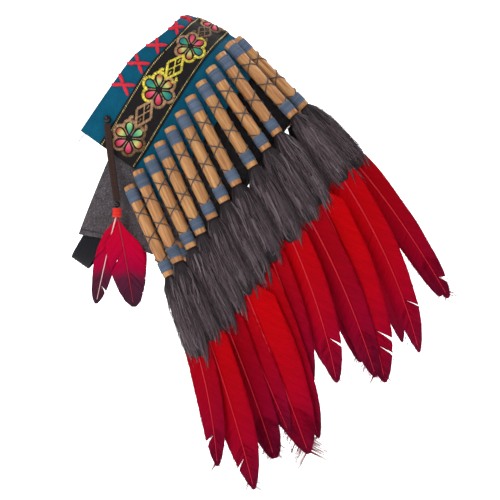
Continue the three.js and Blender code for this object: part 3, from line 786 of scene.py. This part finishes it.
GOLD, TAN, DARK_TAN = dye(226, 208, 72), dye(170, 132, 96), dye(112, 82, 50)
TEAL_PETAL = ((60, 170, 110), (35, 140, 115), (25, 105, 120))
GREEN_RED_PETAL = ((75, 150, 75), (205, 205, 120), (170, 35, 30))
PINK_PETAL = ((190, 120, 110), (225, 65, 110), (165, 20, 35))
GREEN_PETAL = ((40, 110, 130), (80, 165, 110), (150, 200, 130))
# Each flower's petal colours by group, and the thread of its lobes towards the brow and the crown
FLOWERS = [
    {"across": TEAL_PETAL, "front": PINK_PETAL, "back": GREEN_RED_PETAL, "brow": TAN, "crown": GOLD},
    {"across": TEAL_PETAL, "front": GREEN_RED_PETAL, "back": PINK_PETAL, "brow": GOLD, "crown": TAN},
    {"across": GREEN_RED_PETAL, "front": GREEN_PETAL, "back": PINK_PETAL, "brow": TAN, "crown": DARK_TAN},
]
LEAF_THREADS = [DARK_TAN, GOLD, TAN]
LEAF_REACH = np.array([15.5, 8.4]) * MM
FIRST_FLOWER_ARC = 54 * MM
PETALS = [(30, "back", 1.0), (90, "across", 1.15), (150, "front", 1.0), (210, "front", 1.0),
          (270, "across", 1.15), (330, "back", 1.0)]
PETAL_REACH, LOBE_REACH, LOBE_RADIUS = 9.4 * MM, 11 * MM, 6.4 * MM


def flower(arc, kind, draws):
    """Six drop-shaped petals round a middle, spokes between them and a scalloped lobe past each."""
    middle = np.array([arc, FLOWER_MIDDLE])
    rows, outlines, colours = [], [], []
    for degrees, group, fat in PETALS:
        turn = math.radians(degrees)
        ahead = np.array([math.cos(turn), math.sin(turn)])
        beside = np.array([-ahead[1], ahead[0]])
        around = ring_angles(20)
        along = PETAL_REACH / MM - 5.4 * np.cos(around)
        width = 4.1 * fat * np.sin(around) * (0.62 - 0.38 * np.cos(around))
        outline = middle + (along[:, None] * ahead + width[:, None] * beside) * MM
        outlines.append(outline)
        reach = np.linalg.norm(outline - middle, axis=1) / MM
        shade = ramp(list(zip((4, 9, 14), kind[group])))
        shares = PAD_SHARES[:, None]
        colours.append(shade(reach[None] * shares + PETAL_REACH / MM * (1 - shares)))
        lobe_thread = kind["crown"] if math.sin(turn) > 0.2 else kind["brow"]
        rows.append(scallop(middle + LOBE_REACH * ahead, turn, LOBE_RADIUS, math.radians(172), lobe_thread,
                            draws))
        spoke = turn + math.radians(30)
        spoke_ahead = np.array([math.cos(spoke), math.sin(spoke)])
        rows.append(row_of_stitches(middle + 3.2 * MM * spoke_ahead, middle + 12.5 * MM * spoke_ahead,
                                    1.1 * MM, 1.2 * MM, 0.9, TAN, 0.2, draws))
    outlines = np.array(outlines)
    middles = middle + PETAL_REACH * np.stack([[math.cos(math.radians(d)), math.sin(math.radians(d))]
                                            for d, _, _ in PETALS])
    return pads(outlines, middles, 0.6 * MM, np.array(colours)), np.concatenate(rows)


def leaf(arc, thread, draws):
    """A pointed leaf along the ribbon: a diamond of bold edge rows, crossed by two thin rows, and curls."""
    middle = np.array([arc, FLOWER_MIDDLE])
    ends = middle + np.array([[-1, 0], [0, 1], [1, 0], [0, -1]]) * LEAF_REACH
    rows = []
    for k in range(4):
        start, end = ends[k], ends[(k + 1) % 4]
        rows.append(row_of_stitches(start, end, 3.2 * MM, 0.95 * MM, 0.5 * (-1) ** k, thread, 0.25, draws))
    for k in range(2):
        start, end = (ends[k] + ends[k + 1]) / 2, (ends[k + 2] + ends[(k + 3) % 4]) / 2
        rows.append(row_of_stitches(start, end, 1.5 * MM, 0.95 * MM, 0.5, thread, 0.25, draws))
    for share in (-0.5, 0, 0.5):
        foot = middle + np.array([share - 0.14, 0]) * LEAF_REACH
        rows.append(row_of_stitches(foot, foot + np.array([0.28, 0]) * LEAF_REACH, 1.3 * MM, 0.9 * MM, 0.4,
                                    thread, 0.25, draws))
    for flank in (1, -1):
        curl = middle + np.array([0.72, flank * 0.86]) * LEAF_REACH
        rows.append(scallop(curl, flank * 1.2, 2.6 * MM, math.radians(150), thread, draws))
    return np.concatenate(rows)


draws = np.random.default_rng(7)
jacquard, stitch_rows = [(ribbon, trim_paint.material)], []
for step in range(-4, 3):
    arc = FIRST_FLOWER_ARC + step * FLOWER_REPEAT
    if abs(arc) < BAND_HALF_LENGTH - 14 * MM:
        petals, rows = flower(arc, FLOWERS[step % 3], draws)
        jacquard.append((petals, stitch_paint.material))
        stitch_rows.append(rows)
    if abs(arc - FLOWER_REPEAT / 2) < BAND_HALF_LENGTH - 17 * MM:
        stitch_rows.append(leaf(arc - FLOWER_REPEAT / 2, LEAF_THREADS[step % 3], draws))
for border in (TRIM_TOP - BORDER_INSET, TRIM_TOP - TRIM_WIDTH + BORDER_INSET):
    ends = np.array([[-BAND_HALF_LENGTH + 1 * MM, border], [BAND_HALF_LENGTH - 1 * MM, border]])
    stitch_rows.append(row_of_stitches(*ends, 0.8 * MM, 2.1 * MM, 0.7, dye(205, 185, 120), 0.3, draws))
all_rows = np.concatenate(stitch_rows)
all_rows = all_rows[np.abs(all_rows[:, 0]) < BAND_HALF_LENGTH - 1.5 * MM]
jacquard.append((stitches(all_rows), stitch_paint.material))
trim = piece("floral_woven_trim", jacquard, ["woven_trim"])

# Cross stitches
# Red yarn crosses are sewn through the band between the trim and its brow edge, two arms to each.
# A short end of black sewing thread hangs out at the band's lower corner.
CROSS_ARCS = [17, 45, 74, 100, 126]
CROSS_HALF_WIDTH = 6.3 * MM
YARN_WIDTH = 1.7 * MM
PLY_SIDES = 12

yarn_paint = Paint("red_yarn", Roughness=0.85, Specular_IOR_Level=0.15)
yarn_fibres = yarn_paint.noise((1800, 500, 1800), detail=4)
yarn_paint.finish(yarn_paint.mix((yarn_fibres * 2 - 0.6).held(), dye(172, 14, 34), dye(236, 66, 84)),
                  yarn_fibres, 0.0006, 0.8)


def cross_arm(arc, heading):
    """One arm's arc, height and offset: up out of the felt by the trim, across, and down near the edge."""
    foot = TRIM_TOP - TRIM_WIDTH + trim_drift(arc) - 0.8 * MM
    marks = np.array([
        (-heading * CROSS_HALF_WIDTH, foot, BAND_FACE - 0.6 * MM),
        (-heading * CROSS_HALF_WIDTH * 0.85, foot - 1.2 * MM, BAND_FACE + 0.9 * MM),
        (0, (foot - BAND_BROW) / 2, BAND_FACE + 1.3 * MM + heading * 0.4 * MM),
        (heading * CROSS_HALF_WIDTH * 0.85, -BAND_BROW + 2.0 * MM, BAND_FACE + 0.8 * MM),
        (heading * CROSS_HALF_WIDTH * 0.97, -BAND_BROW + 0.6 * MM, BAND_FACE + 0.2 * MM),
        (heading * CROSS_HALF_WIDTH, -BAND_BROW + 0.9 * MM, BAND_FACE - 0.9 * MM),
    ])
    places = through(marks, 22)
    places[1:-1] = (places[:-2] + 2 * places[1:-1] + places[2:]) / 4
    return wall(arc + places[:, 0], places[:, 1], places[:, 2])


arms = np.array([cross_arm(sign * arc * MM, heading) for sign in (1, -1) for arc in CROSS_ARCS
                 for heading in (1, -1)])
arm_width = YARN_WIDTH * np.interp(np.linspace(0, 1, arms.shape[1]), [0, 0.3, 0.7, 1], [0.55, 1, 1, 0.5])
ply = 1 + 0.16 * np.cos(2 * ring_angles(PLY_SIDES)[None, None]
                        - np.arange(arms.shape[1])[None, :, None] * 1.1)
arm_normals = np.array([[0.0, -1.0 if arm[:, 1].mean() < 0 else 1.0, 0.0] for arm in arms])[:, None]
tail_shares = np.linspace(0, 1, 14)
tail_start = wall(BAND_HALF_LENGTH - 1 * MM, -66 * MM, BAND_FACE)
tail = tail_start + np.stack([-8 * MM * tail_shares, -1 * MM * np.sin(tail_shares * 3),
                              -8 * MM * tail_shares ** 1.4], -1)
piece("cross_stitches", [
    (strands(arms, arm_width, arm_width * 0.6, arm_normals, PLY_SIDES, dye(210, 40, 55), ply),
     yarn_paint.material),
    (strands(tail[None], 0.35 * MM, 0.35 * MM, (0, -1, 0), 6, dye(20, 20, 24)), thread_paint.material),
], crease=0)

# Grey felt backing
# Grey heather felt lies behind the band and under the tubes, where painted shade darkens it. At each ear it
# runs on as a wing, whose hem slants forward towards the crown and is folded and pressed flat; a painted
# shade line stands for the fold.
BACKING_THICKNESS = 2.5 * MM
BACKING_CROWN, BACKING_FRONT = 57 * MM, 92 * MM
BACKING_BROW_INSET = 3 * MM
BACKING_SOFT, BACKING_SHARE_SOFT = 2.5 * MM, 0.012
WING_BROW_START, WING_BROW_END = 36 * MM, 19 * MM
HEM_BROW_ARC, HEM_CROWN_ARC = 280 * MM, 216 * MM

grey_paint = Paint("grey_heather_felt", Roughness=0.95, Specular_IOR_Level=0.1)
grey_cloud = grey_paint.noise((160, 160, 160), detail=5, rough=0.7)
grey_fibre = grey_paint.noise((750, 450, 750), detail=5, rough=0.85)
grey_colour = grey_paint.mix((grey_cloud * 2.4 - 0.7).held(), dye(52, 48, 51), dye(90, 84, 88))
grey_colour = grey_paint.mix((grey_fibre * 5 - 2.6).held() * 0.8, grey_colour, dye(158, 152, 156))
# The dye multiplies in the painted shade under the tubes and along the hem fold.
grey_colour = grey_paint.mix(1.0, grey_colour, grey_paint.dyed(), "MULTIPLY")
grey_paint.finish(grey_colour, grey_fibre + grey_cloud * 0.6, 0.0013, 0.7)


def backing_grid(stations, shares):
    """Arc and height of the backing: rows from its brow edge to its crown edge, slanted in the wings."""
    size = np.abs(stations)[:, None]
    wing = np.maximum(0, size - BAND_HALF_LENGTH) / BAND_HALF_LENGTH
    front = BAND_BROW - BACKING_BROW_INSET
    settle = smooth((size - BAND_HALF_LENGTH * 0.85) / (BAND_HALF_LENGTH * 0.15))
    brow = np.where(wing > 0, WING_BROW_START + (WING_BROW_END - WING_BROW_START) * wing,
                    front + (WING_BROW_START - front) * settle)
    marks = np.array([0, 0.42, 0.7, 1.0])
    slant = np.array([0, 0.16, 0.7, 1])
    hem = np.interp(shares, marks, HEM_BROW_ARC + (HEM_CROWN_ARC - HEM_BROW_ARC) * slant)
    reach = np.where(wing > 0, BAND_HALF_LENGTH + wing * (hem[None] - BAND_HALF_LENGTH), size)
    crown = BACKING_FRONT + (BACKING_CROWN - BACKING_FRONT) * smooth((size / BAND_HALF_LENGTH - 0.75) / 0.35)
    past = np.clip((shares - marks[2]) / (marks[3] - marks[2]), 0, 1)
    rise = np.interp(shares, marks[1:3], [0, BAND_CROWN]) + (crown - BAND_CROWN) * past
    height = np.where(shares < marks[1], -brow * (1 - shares / marks[1]), rise)
    return np.sign(stations)[:, None] * reach, height


# Stations run past the band's end, to twice its half length at the hem
backing_end = 2 * BAND_HALF_LENGTH
backing_stations = edged(-backing_end, backing_end, 3.6 * MM, BACKING_SOFT)
backing_shares = edged(0.0, 1.0, 0.026, BACKING_SHARE_SOFT)
backing_arcs, backing_heights = backing_grid(backing_stations, backing_shares)
backing_draw = rim_draw((backing_stations[:, None], -backing_end, backing_end, BACKING_SOFT),
                        (backing_shares[None], 0, 1, BACKING_SHARE_SOFT))
# Painted shade: the felt is darkened by up to 0.84 where it lies under the tubes, and a dark line 5.5 mm in
# from the hem is painted shade of its fold. The hem term's lightening of the last 2 mm never acts, because
# the maximum holds it at 0.
painted_shade_under_tubes = (smooth(1.5 - np.abs(backing_arcs) / BAND_HALF_LENGTH * 1.4)
               * smooth(backing_heights / BAND_CROWN + 0.5))
from_hem = (2 - np.abs(backing_stations) / BAND_HALF_LENGTH)[:, None] * 75 * MM
hem_fold_painted_shade = 0.55 * np.exp(-((from_hem - 5.5 * MM) / (0.8 * MM)) ** 2) - 0.3 * (from_hem < 2 * MM)
backing_painted_shade = 1 - np.maximum(0.84 * painted_shade_under_tubes, hem_fold_painted_shade)[..., None] * np.array([1, 1, 1, 0])
grey_backing = piece("grey_felt_backing", [(felt_sheet(
    backing_arcs, backing_heights, -BACKING_THICKNESS, 0.0, backing_draw, 0.12 * MM, backing_painted_shade),
    grey_paint.material)], ["grey_backing"])

# Elastic strap
# A black ribbed elastic closes the loop behind the head. Its ends are sewn inside both hems,
# and it turns round the back of the head in one smooth bend.
STRAP_THICKNESS = 1.5 * MM
STRAP_HALF_WIDTH = 11 * MM
STRAP_SHIFT = 4 * MM
STRAP_OVERLAP = 26 * MM
STRAP_GAP = 0.9 * MM
STRAP_RIBS, STRAP_STATIONS = 7, 121
STRAP_SOFT = 0.4 * MM

strap_paint = Paint("black_elastic", Roughness=0.75, Specular_IOR_Level=0.2)
strap_weave = strap_paint.noise((1400, 500, 1), detail=3)
strap_paint.finish(strap_paint.mix(strap_weave, dye(4, 4, 10), dye(20, 20, 28)), strap_weave, 0.0006, 0.8)

half_loop = PLAN_ARC[-1]
strap_reach = half_loop - (HEM_BROW_ARC - STRAP_OVERLAP)
strap_steps = np.linspace(-strap_reach, strap_reach, STRAP_STATIONS)
strap_arcs = np.sign(-strap_steps + 1e-9) * (half_loop * 0.99999 - np.abs(strap_steps))
strap_along, strap_side = plan_point(strap_arcs)
strap_line = np.stack([strap_along, strap_side], -1)
strap_heading = unit(np.gradient(strap_line, axis=0))
strap_out = np.stack([strap_heading[:, 1], -strap_heading[:, 0]], -1)
strap_out *= np.sign(strap_out[STRAP_STATIONS // 2, 0])
strap_heights = edged(-STRAP_HALF_WIDTH, STRAP_HALF_WIDTH, 0.8 * MM, STRAP_SOFT)
rib_rise = 0.22 * MM * np.cos(strap_heights / STRAP_HALF_WIDTH * math.pi * STRAP_RIBS)
strap_draw = soft_edge(strap_heights, -STRAP_HALF_WIDTH, STRAP_HALF_WIDTH, STRAP_SOFT)
strap_face = -BACKING_THICKNESS - STRAP_GAP


def strap_skin(offsets):
    """The strap's line moved out by an offset for each height across it."""
    flat = strap_line[:, None] + strap_out[:, None] * offsets[None, :, None]
    heights = np.broadcast_to(strap_heights[None, :, None] - STRAP_SHIFT, (*flat.shape[:2], 1))
    return hung_points(np.concatenate([flat, heights], -1))


strap_middle = strap_face - STRAP_THICKNESS / 2
strap_outer = strap_middle + (STRAP_THICKNESS / 2 + rib_rise) * (1 - strap_draw)
strap_inner = strap_middle - (STRAP_THICKNESS / 2 + rib_rise) * (1 - strap_draw)
strap_lay = np.stack(np.broadcast_arrays(strap_steps[:, None], strap_heights[None], 0.0), -1)
strap = piece("ribbed_elastic_strap", [(shell(
    strap_skin(strap_outer), strap_skin(strap_inner), strap_lay, dye(30, 30, 38)), strap_paint.material)],
    ["back_strap"])

# Wooden tubes
# Twelve turned and drilled tubes on each half stand side by side on the band, with bare ends and
# slate thread wound round both. Two thin cords cross over each other between the windings.
TUBE_LENGTH = 100 * MM
TUBE_RADIUS = 6 * MM
BORE_RADIUS = 2.6 * MM
WRAP_DEPTH = 0.7 * MM
BARE_END = 5 * MM
TOP_WRAP, LOWER_WRAP = 13.5 * MM, 11 * MM
TUBE_SEAT_GAP = 0.3 * MM
TUBE_RISES = np.array([3, 5, 4.5, 3.5, 2.5, 2, 1, 0, 0, 0, 1, 0]) * MM
LATTICE_PITCH = 27 * MM
LATTICE_RADIUS = 0.62 * MM

wood_paint = Paint("turned_wood", Roughness=0.5, Specular_IOR_Level=0.35)
grain = wood_paint.noise((420, 420, 26), detail=6, rough=0.7)
figure = wood_paint.noise((120, 120, 14), detail=3)
wood_colour = wood_paint.mix((grain * 3.2 - 1.1).held(), dye(142, 92, 54), dye(216, 168, 112))
wood_colour = wood_paint.mix((figure * 2.6 - 0.9).held() * 0.6, wood_colour, dye(136, 84, 50))
wood_colour = wood_paint.mix(0.35, wood_colour, wood_paint.dyed(), "MULTIPLY")
wood_paint.finish(wood_colour, grain, 0.0004, 0.6, grain * 0.3 + 0.38)


def tube_frame(index, side):
    """Top of a tube and its axes: up along it, outward from the loop, and right square to both."""
    arc = TUBE_ARCS[index] * side
    on_band = TUBE_ARCS[index] < BAND_HALF_LENGTH + TUBE_RADIUS
    seat = (BAND_FACE if on_band else 0) + TUBE_SEAT_GAP + TUBE_RADIUS + WRAP_DEPTH
    top, foot = wall(arc, 0.0, seat), wall(arc, BAND_CROWN, seat)
    up = unit(top - foot)
    outward = tilted(np.array([0.0, -side, 0.0]))
    outward = unit(outward - up * (outward @ up))
    return top + up * TUBE_RISES[index], np.array([np.cross(up, outward), up, outward])


def helix(turns, low, high, radius, start, hand):
    """A cord round the tube: angle runs evenly with the height from low to high."""
    shares = np.linspace(0, 1, 44)
    angle = start + hand * TURN * turns * shares
    return np.stack([radius * np.sin(angle), low + (high - low) * shares, radius * np.cos(angle)], -1)


tube_profile = [
    (BORE_RADIUS, -TUBE_LENGTH + 0.4 * MM), (BORE_RADIUS + 0.4 * MM, -TUBE_LENGTH),
    (TUBE_RADIUS - 1.0 * MM, -TUBE_LENGTH), (TUBE_RADIUS - 0.3 * MM, -TUBE_LENGTH + 0.3 * MM),
    (TUBE_RADIUS, -TUBE_LENGTH + 1.0 * MM),
    *[(TUBE_RADIUS + 0.12 * MM * math.sin(k * 1.7), -TUBE_LENGTH * (1 - k / 14)) for k in range(1, 14)],
    (TUBE_RADIUS, -1.0 * MM), (TUBE_RADIUS - 0.3 * MM, -0.3 * MM), (TUBE_RADIUS - 1.0 * MM, 0.0),
    (BORE_RADIUS + 0.4 * MM, 0.0), (BORE_RADIUS, -0.4 * MM), (BORE_RADIUS, -TUBE_LENGTH / 2),
]
wrap_spans = [(-BARE_END - TOP_WRAP, -BARE_END, 9),
              (-TUBE_LENGTH + BARE_END, -TUBE_LENGTH + BARE_END + LOWER_WRAP, 7)]
draws = np.random.default_rng(21)
for side, label in ((1, "near"), (-1, "far")):
    for index in range(len(TUBE_ARCS)):
        top, axes = tube_frame(index, side)
        right, up, outward = axes
        number = f"{label}_{len(TUBE_ARCS) - index:02d}"
        warm = draws.uniform(0.72, 1.0)
        wood = turned(tube_profile, top, (up, outward, right), 26,
                      (1.0, 0.86 * warm + 0.1, 0.7 * warm + 0.1, 1.0), hollow=True)
        wood["lay"] = wood["lay"] + draws.uniform(-1, 1, 3)
        parts = [(wood, wood_paint.material)]
        slate = np.array(dye(100, 116, 140)) * draws.uniform(0.85, 1.1)
        for low, high, coils in wrap_spans:
            radius = TUBE_RADIUS + WRAP_DEPTH
            parts.append((turned(wound(radius, low, high, coils), top, (up, outward, right), 24,
                                 coil_tones_with_groove_shade(slate, coils, draws), hollow=True), thread_paint.material))
        start = draws.uniform(-0.3, 0.3)
        low, high = wrap_spans[1][1], wrap_spans[0][0]
        turns = (high - low) / LATTICE_PITCH
        cords = np.array([helix(turns, low, high, TUBE_RADIUS + LATTICE_RADIUS * 0.8, start + shift, hand)
                          for shift, hand in ((0.3, 1), (-0.3, -1))])
        radial = cords * np.array([1, 0, 1])
        parts.append((placed(strands(cords, LATTICE_RADIUS, LATTICE_RADIUS, radial, 6, dye(84, 80, 80)),
                             top, axes), thread_paint.material))
        piece("wooden_tube_" + number, parts, ["tube_" + number])

# Plumes
# Each tube holds one long dyed goose feather, glued in by its quill, with a tuft of dark long fur
# bound round it under the tube. Some barbs have parted, and neighbours lie over each other.
TUFT_LENGTH = 84 * MM
TUFT_HALF_WIDTH = 14 * MM
TUFT_HALF_DEPTH = 4 * MM
QUILL_RADIUS = 1.9 * MM
# Row by row from the front: reach in mm, sweep in degrees, half the vane's width and lift of its tip in
# mm, roll of the fur and turn of the vane in degrees, rise of the vane in mm, number of parted places,
# how blunt, ragged and red it is from 0 to 1, and its notches by flank, share of the reach and gap.
PLUME_COLUMNS = ("reach", "sweep", "half", "lift", "roll", "turn", "rise", "cuts", "blunt", "ragged", "red",
                 "notches")
PLUMES = [dict(zip(PLUME_COLUMNS, row)) for row in (
    (247, 16, 14, -4, 22, 14, -1, 0, 0.5, 0.6, 0.35, [(1, 0.9, 0.014)]),
    (272, 28, 16, 0, 22, 16, 2, 1, 0.0, 0.1, 0.7, []),
    (271, 25, 22, 3, 22, 16, 3, 0, 0.1, 0.3, 0.95, [(1, 0.8, 0.006), (1, 0.86, 0.006)]),
    (251, 18, 17, 0, 24, 18, -1, 0, 0.3, 0.4, 0.2, []),
    (229, 21, 17, 2, 24, 18, 1, 0, 0.2, 0.2, 0.7, [(1, 0.8, 0.006)]),
    (215, 16, 15, 0, 24, 18, -1, 0, 0.0, 0.2, 0.3, []),
    (249, 10, 16, 0, 24, 18, 0, 0, 0.0, 0.2, 0.55, []),
    (248, 6, 26, 0, 24, 16, 3, 0, 0.0, 1.0, 0.9, [(-1, 0.66, 0.008), (-1, 0.72, 0.01)]),
    (213, 2, 16, 3, 25, 20, -1, 0, 0.2, 0.2, 0.5, []),
    (221, 8, 18, 0, 29, 18, -2, 0, 1.0, 0.6, 0.15, []),
    (231, 10, 19, 4, 29, 18, 2, 0, 0.0, 0.3, 0.7, [(-1, 0.86, 0.006)]),
    (190, 20, 14, 2, 28, 18, -1, 0, 0.2, 0.2, 0.3, [(-1, 0.84, 0.016)]),
)]
# A tuft's shape at shares of its length: depth and width by its half sizes, and share of its roll
FUR_TABLE = {
    "at": [0, 0.07, 0.14, 0.3, 0.5, 0.82, 1.0, 1.15],
    "deep": [1.3, 1.6, 1.8, 2.0, 1.9, 1.4, 0.8, 0.3],
    "wide": [0.42, 0.64, 0.8, 0.9, 0.94, 0.92, 0.74, 0.5],
    "turn": [0, 0.15, 0.3, 0.6, 1, 1, 1, 1],
}
# Locks, hairs and flyaway hairs of one tuft: how many, rings and sides of each, radius in mm, how flat,
# and how far they lift off the core, least and most
HAIRS = [
    {"count": 70, "rings": 6, "radius": 1.3, "sides": 5, "flat": 0.45, "spread": (0.1, 0.25)},
    {"count": 600, "rings": 4, "radius": 0.32, "sides": 3, "flat": 1.0, "spread": (0.1, 0.42)},
    {"count": 80, "rings": 4, "radius": 0.2, "sides": 3, "flat": 1.0, "spread": (0.4, 1.1)},
]
CLUMPS, CORE_SIDES, CORE_RINGS = 13, 20, 12
DARK_FUR, MID_FUR, LIGHT_FUR = np.array([dye(56, 42, 49), dye(102, 85, 92), dye(170, 156, 161)])
path_shares = (np.arange(24) + 0.5) / 24

fur_paint = Paint("dark_fur", Roughness=0.6, Specular_IOR_Level=0.2)
fur_grain = fur_paint.noise((900, 60, 900), detail=3)
fur_paint.finish(fur_paint.mix((fur_grain * 2 - 0.6).held() * 0.35, fur_paint.dyed(), dye(40, 32, 38)),
                 fur_grain, 0.0005, 0.5)


def plume_line(row, side, turn_at):
    """Line of a plume below its tube, in the tube's axes: steps of the reach, each turned a little more.

    The wide and lift directions are square to the line, and turned about it by turn_at(t).
    """
    reach, sweep = row["reach"] * MM, math.radians(row["sweep"])

    def centre_at(t):
        turns = sweep * path_shares * t[..., None]
        x = -np.sin(turns).mean(-1) * reach * t
        y = -np.cos(turns).mean(-1) * reach * t
        return np.stack([side * x, y - TUBE_LENGTH, row["lift"] * MM * smooth((t - 0.42) / 0.38)], -1)

    def line(t):
        t = np.asarray(t, float)
        centre = centre_at(t)
        ahead = unit(centre_at(t + 0.01) - centre)
        across = np.broadcast_to([float(side), 0.0, 0.0], centre.shape)
        across = unit(across - ahead * np.sum(across * ahead, -1, keepdims=True))
        depth = unit(np.cross(across, ahead) * -side)
        angle = turn_at(t)[..., None]
        wide = across * np.cos(angle) + depth * np.sin(angle)
        lift = depth * np.cos(angle) - across * np.sin(angle)
        return centre, wide, lift

    return line


def fur_tuft(row, side, draws):
    """A dark core with locks and hairs on it.

    A hair starts on the core at its own share and angle, runs on towards the tip, closes on its lock's
    angle with the square of its share and lifts off.
    """
    tuft = TUFT_LENGTH / (row["reach"] * MM)
    line = plume_line(row, side, lambda t: (
        np.radians(row["roll"]) * np.interp(t / tuft, FUR_TABLE["at"], FUR_TABLE["turn"])))

    def on_fur(at, angle, out):
        centre, wide, lift = line(at * tuft)
        width = TUFT_HALF_WIDTH * np.interp(at, FUR_TABLE["at"], FUR_TABLE["wide"]) * out
        depth = TUFT_HALF_DEPTH * np.interp(at, FUR_TABLE["at"], FUR_TABLE["deep"]) * out
        across, high = width * np.cos(angle), depth * np.sin(angle)
        return centre + wide * across[..., None] + lift * high[..., None], lift

    around = ring_angles(CORE_SIDES) * -side
    at = np.linspace(0.004, 1.0, CORE_RINGS)
    taper = np.concatenate([np.full(CORE_RINGS - 3, 0.93), [0.9, 0.8, 0.5]])
    core, _ = on_fur(np.repeat(at[:, None], CORE_SIDES, 1), np.repeat(around[None], CORE_RINGS, 0),
                     taper[:, None])
    shapes = [loft(core[None], dye(30, 23, 27))]
    clump_end = draws.uniform(-0.16, 0.14, CLUMPS)
    for kind in HAIRS:
        count = kind["count"]
        start_at = draws.random(count) ** 0.8 * 0.82
        angle = draws.uniform(0, TURN, count)
        clump = np.floor(angle / TURN * CLUMPS).astype(int)
        aim = (clump + 0.5 + draws.normal(0, 0.3, count)) * TURN / CLUMPS
        end_at = np.minimum(start_at + draws.uniform(0.22, 0.5, count), 1.0 + clump_end[clump]
                            + draws.normal(0, 0.04, count))
        share = np.linspace(0, 1, kind["rings"])[None, :]
        at = start_at[:, None] + (end_at - start_at)[:, None] * share
        wave = draws.normal(0, 0.16, count)[:, None]
        wave = wave * np.sin(share * 4 + draws.uniform(0, TURN, count)[:, None])
        path_angle = angle[:, None] + (aim - angle)[:, None] * 0.6 * share ** 2 + wave * share
        out = 0.88 + draws.uniform(*kind["spread"], count)[:, None] * share * (1.25 - 0.5 * share)
        paths, lifts = on_fur(at, path_angle, out)
        size = (kind["radius"] * MM * np.maximum(1 - share, 0.06) ** 0.6
                * draws.uniform(0.7, 1.2, count)[:, None])
        light = draws.random(count) ** 3
        base = DARK_FUR + (MID_FUR - DARK_FUR) * draws.random(count)[:, None]
        base = base + (LIGHT_FUR - base) * (light * 0.6)[:, None]
        # Painted shade: hairs are lighter where they face outwards. They are darker on the tuft's sides, near
        # its neck under the tube, and towards their roots.
        facing = np.maximum(np.sin(path_angle), 0) ** 0.7
        painted_fur_shade = (0.42 + 0.68 * facing) * (0.55 + 0.45 * smooth(at / 0.3)) * (0.75 + 0.35 * share)
        shade = base[:, None, None] * painted_fur_shade[..., None, None]
        shade[..., 3] = 1
        shapes.append(strands(paths, size, size * kind["flat"], lifts, kind["sides"], shade))
    return shapes


red_shade = ramp([(0, (178, 0, 4)), (0.5, (180, 0, 8)), (0.7, (168, 0, 20)), (0.85, (150, 0, 32)),
                  (0.95, (134, 4, 40)), (1, (110, 12, 44))])
crimson_shade = ramp([(0, (138, 0, 8)), (0.5, (134, 0, 18)), (0.8, (126, 0, 34)), (1, (100, 10, 42))])
# The vane starts inside the fur, at this share of the tuft's length
VANE_START = 0.7
PARTED_GAP, VANE_BOW = 0.015, 0.1
VANE_SHARES = [0.0, 0.2, 0.36, 0.52, 0.7, 0.82, 0.9, 0.96, 0.99, 1.0]
POINTED = np.array([0.5, 0.84, 1.0, 1.0, 0.93, 0.8, 0.6, 0.34, 0.15, 0.05])
BLUNT = np.array([0.5, 0.9, 1.0, 0.98, 0.92, 0.84, 0.72, 0.5, 0.3, 0.15])
EDGE_BARBS, TIP_BARBS = 34, 100

for side, label in ((1, "near"), (-1, "far")):
    for index, row in enumerate(PLUMES):
        number = f"{label}_{len(PLUMES) - index:02d}"
        draws = np.random.default_rng(100 + 20 * index + (side < 0))
        top, axes = tube_frame(index, side)
        reach = row["reach"] * MM
        parts = [(placed(shape, top, axes), fur_paint.material) for shape in fur_tuft(row, side, draws)]
        raw_line = plume_line(row, side, lambda t, row=row: np.radians(row["turn"]) + 0 * t)

        def vane_line(t, raw_line=raw_line, row=row):
            centre, wide, lift = raw_line(t)
            rise = row["rise"] * MM * smooth((t - 0.2) / 0.3)
            return centre + lift * rise[..., None], wide, lift

        def vane_half(t, row=row):
            outline = POINTED + (BLUNT - POINTED) * row["blunt"]
            return row["half"] * MM * np.interp(t, VANE_SHARES, outline)

        def vane_dye(t, s, red=row["red"]):
            share = np.clip(t + 0.05 * s, 0, 1)
            return crimson_shade(share) + (red_shade(share) - crimson_shade(share)) * red

        start = VANE_START * TUFT_LENGTH / reach
        for flank in (1, -1):
            notches = np.array([notch[1:] for notch in row["notches"] if notch[0] == flank]).reshape(-1, 2)
            cuts = parted(start, row["cuts"], PARTED_GAP, notches, draws)
            for shape in flank_strips(vane_line, vane_half, reach, flank, cuts, vane_dye, VANE_BOW, draws):
                parts.append((placed(shape, top, axes), feather_paint.material))
            tip_barbs = int(TIP_BARBS * (0.15 + row["ragged"]))
            roots = np.concatenate([draws.uniform(0.35, 0.93, EDGE_BARBS),
                                    draws.uniform(0.8, 0.99, tip_barbs)])
            begin = np.concatenate([np.full(EDGE_BARBS, 0.93), np.full(tip_barbs, 0.05)])
            end = np.concatenate([draws.uniform(1.0, 1.09, EDGE_BARBS),
                                  draws.uniform(0.5, 1.0, tip_barbs) * (0.8 + 0.5 * row["ragged"])])
            barbs = loose_barbs(vane_line, vane_half, reach, flank, roots, begin, end, vane_dye, draws)
            parts.append((placed(barbs, top, axes), feather_paint.material))
        quill_shares = np.linspace(start, 0.975, 34)
        centre, _, lift = vane_line(quill_shares)
        thin = np.interp(quill_shares, [0.2, 1], [0.95 * MM, 0.25 * MM])
        quill = strands((centre + lift * 0.35 * MM)[None], thin, thin * 0.8, lift[None], 6, dye(196, 10, 30))
        parts.append((placed(quill, top, axes), quill_paint.material))
        peg = np.linspace(9 * MM, -2 * MM, 4)[:, None] * (0, 1, 0) - (0, TUBE_LENGTH, 0)
        parts.append((placed(strands(peg[None], QUILL_RADIUS, QUILL_RADIUS, (0, 0, 1), 8, dye(210, 190, 170)),
                             top, axes), quill_paint.material))
        piece("plume_with_fur_" + number, parts, ["plume_" + number], crease=0)

low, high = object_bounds()
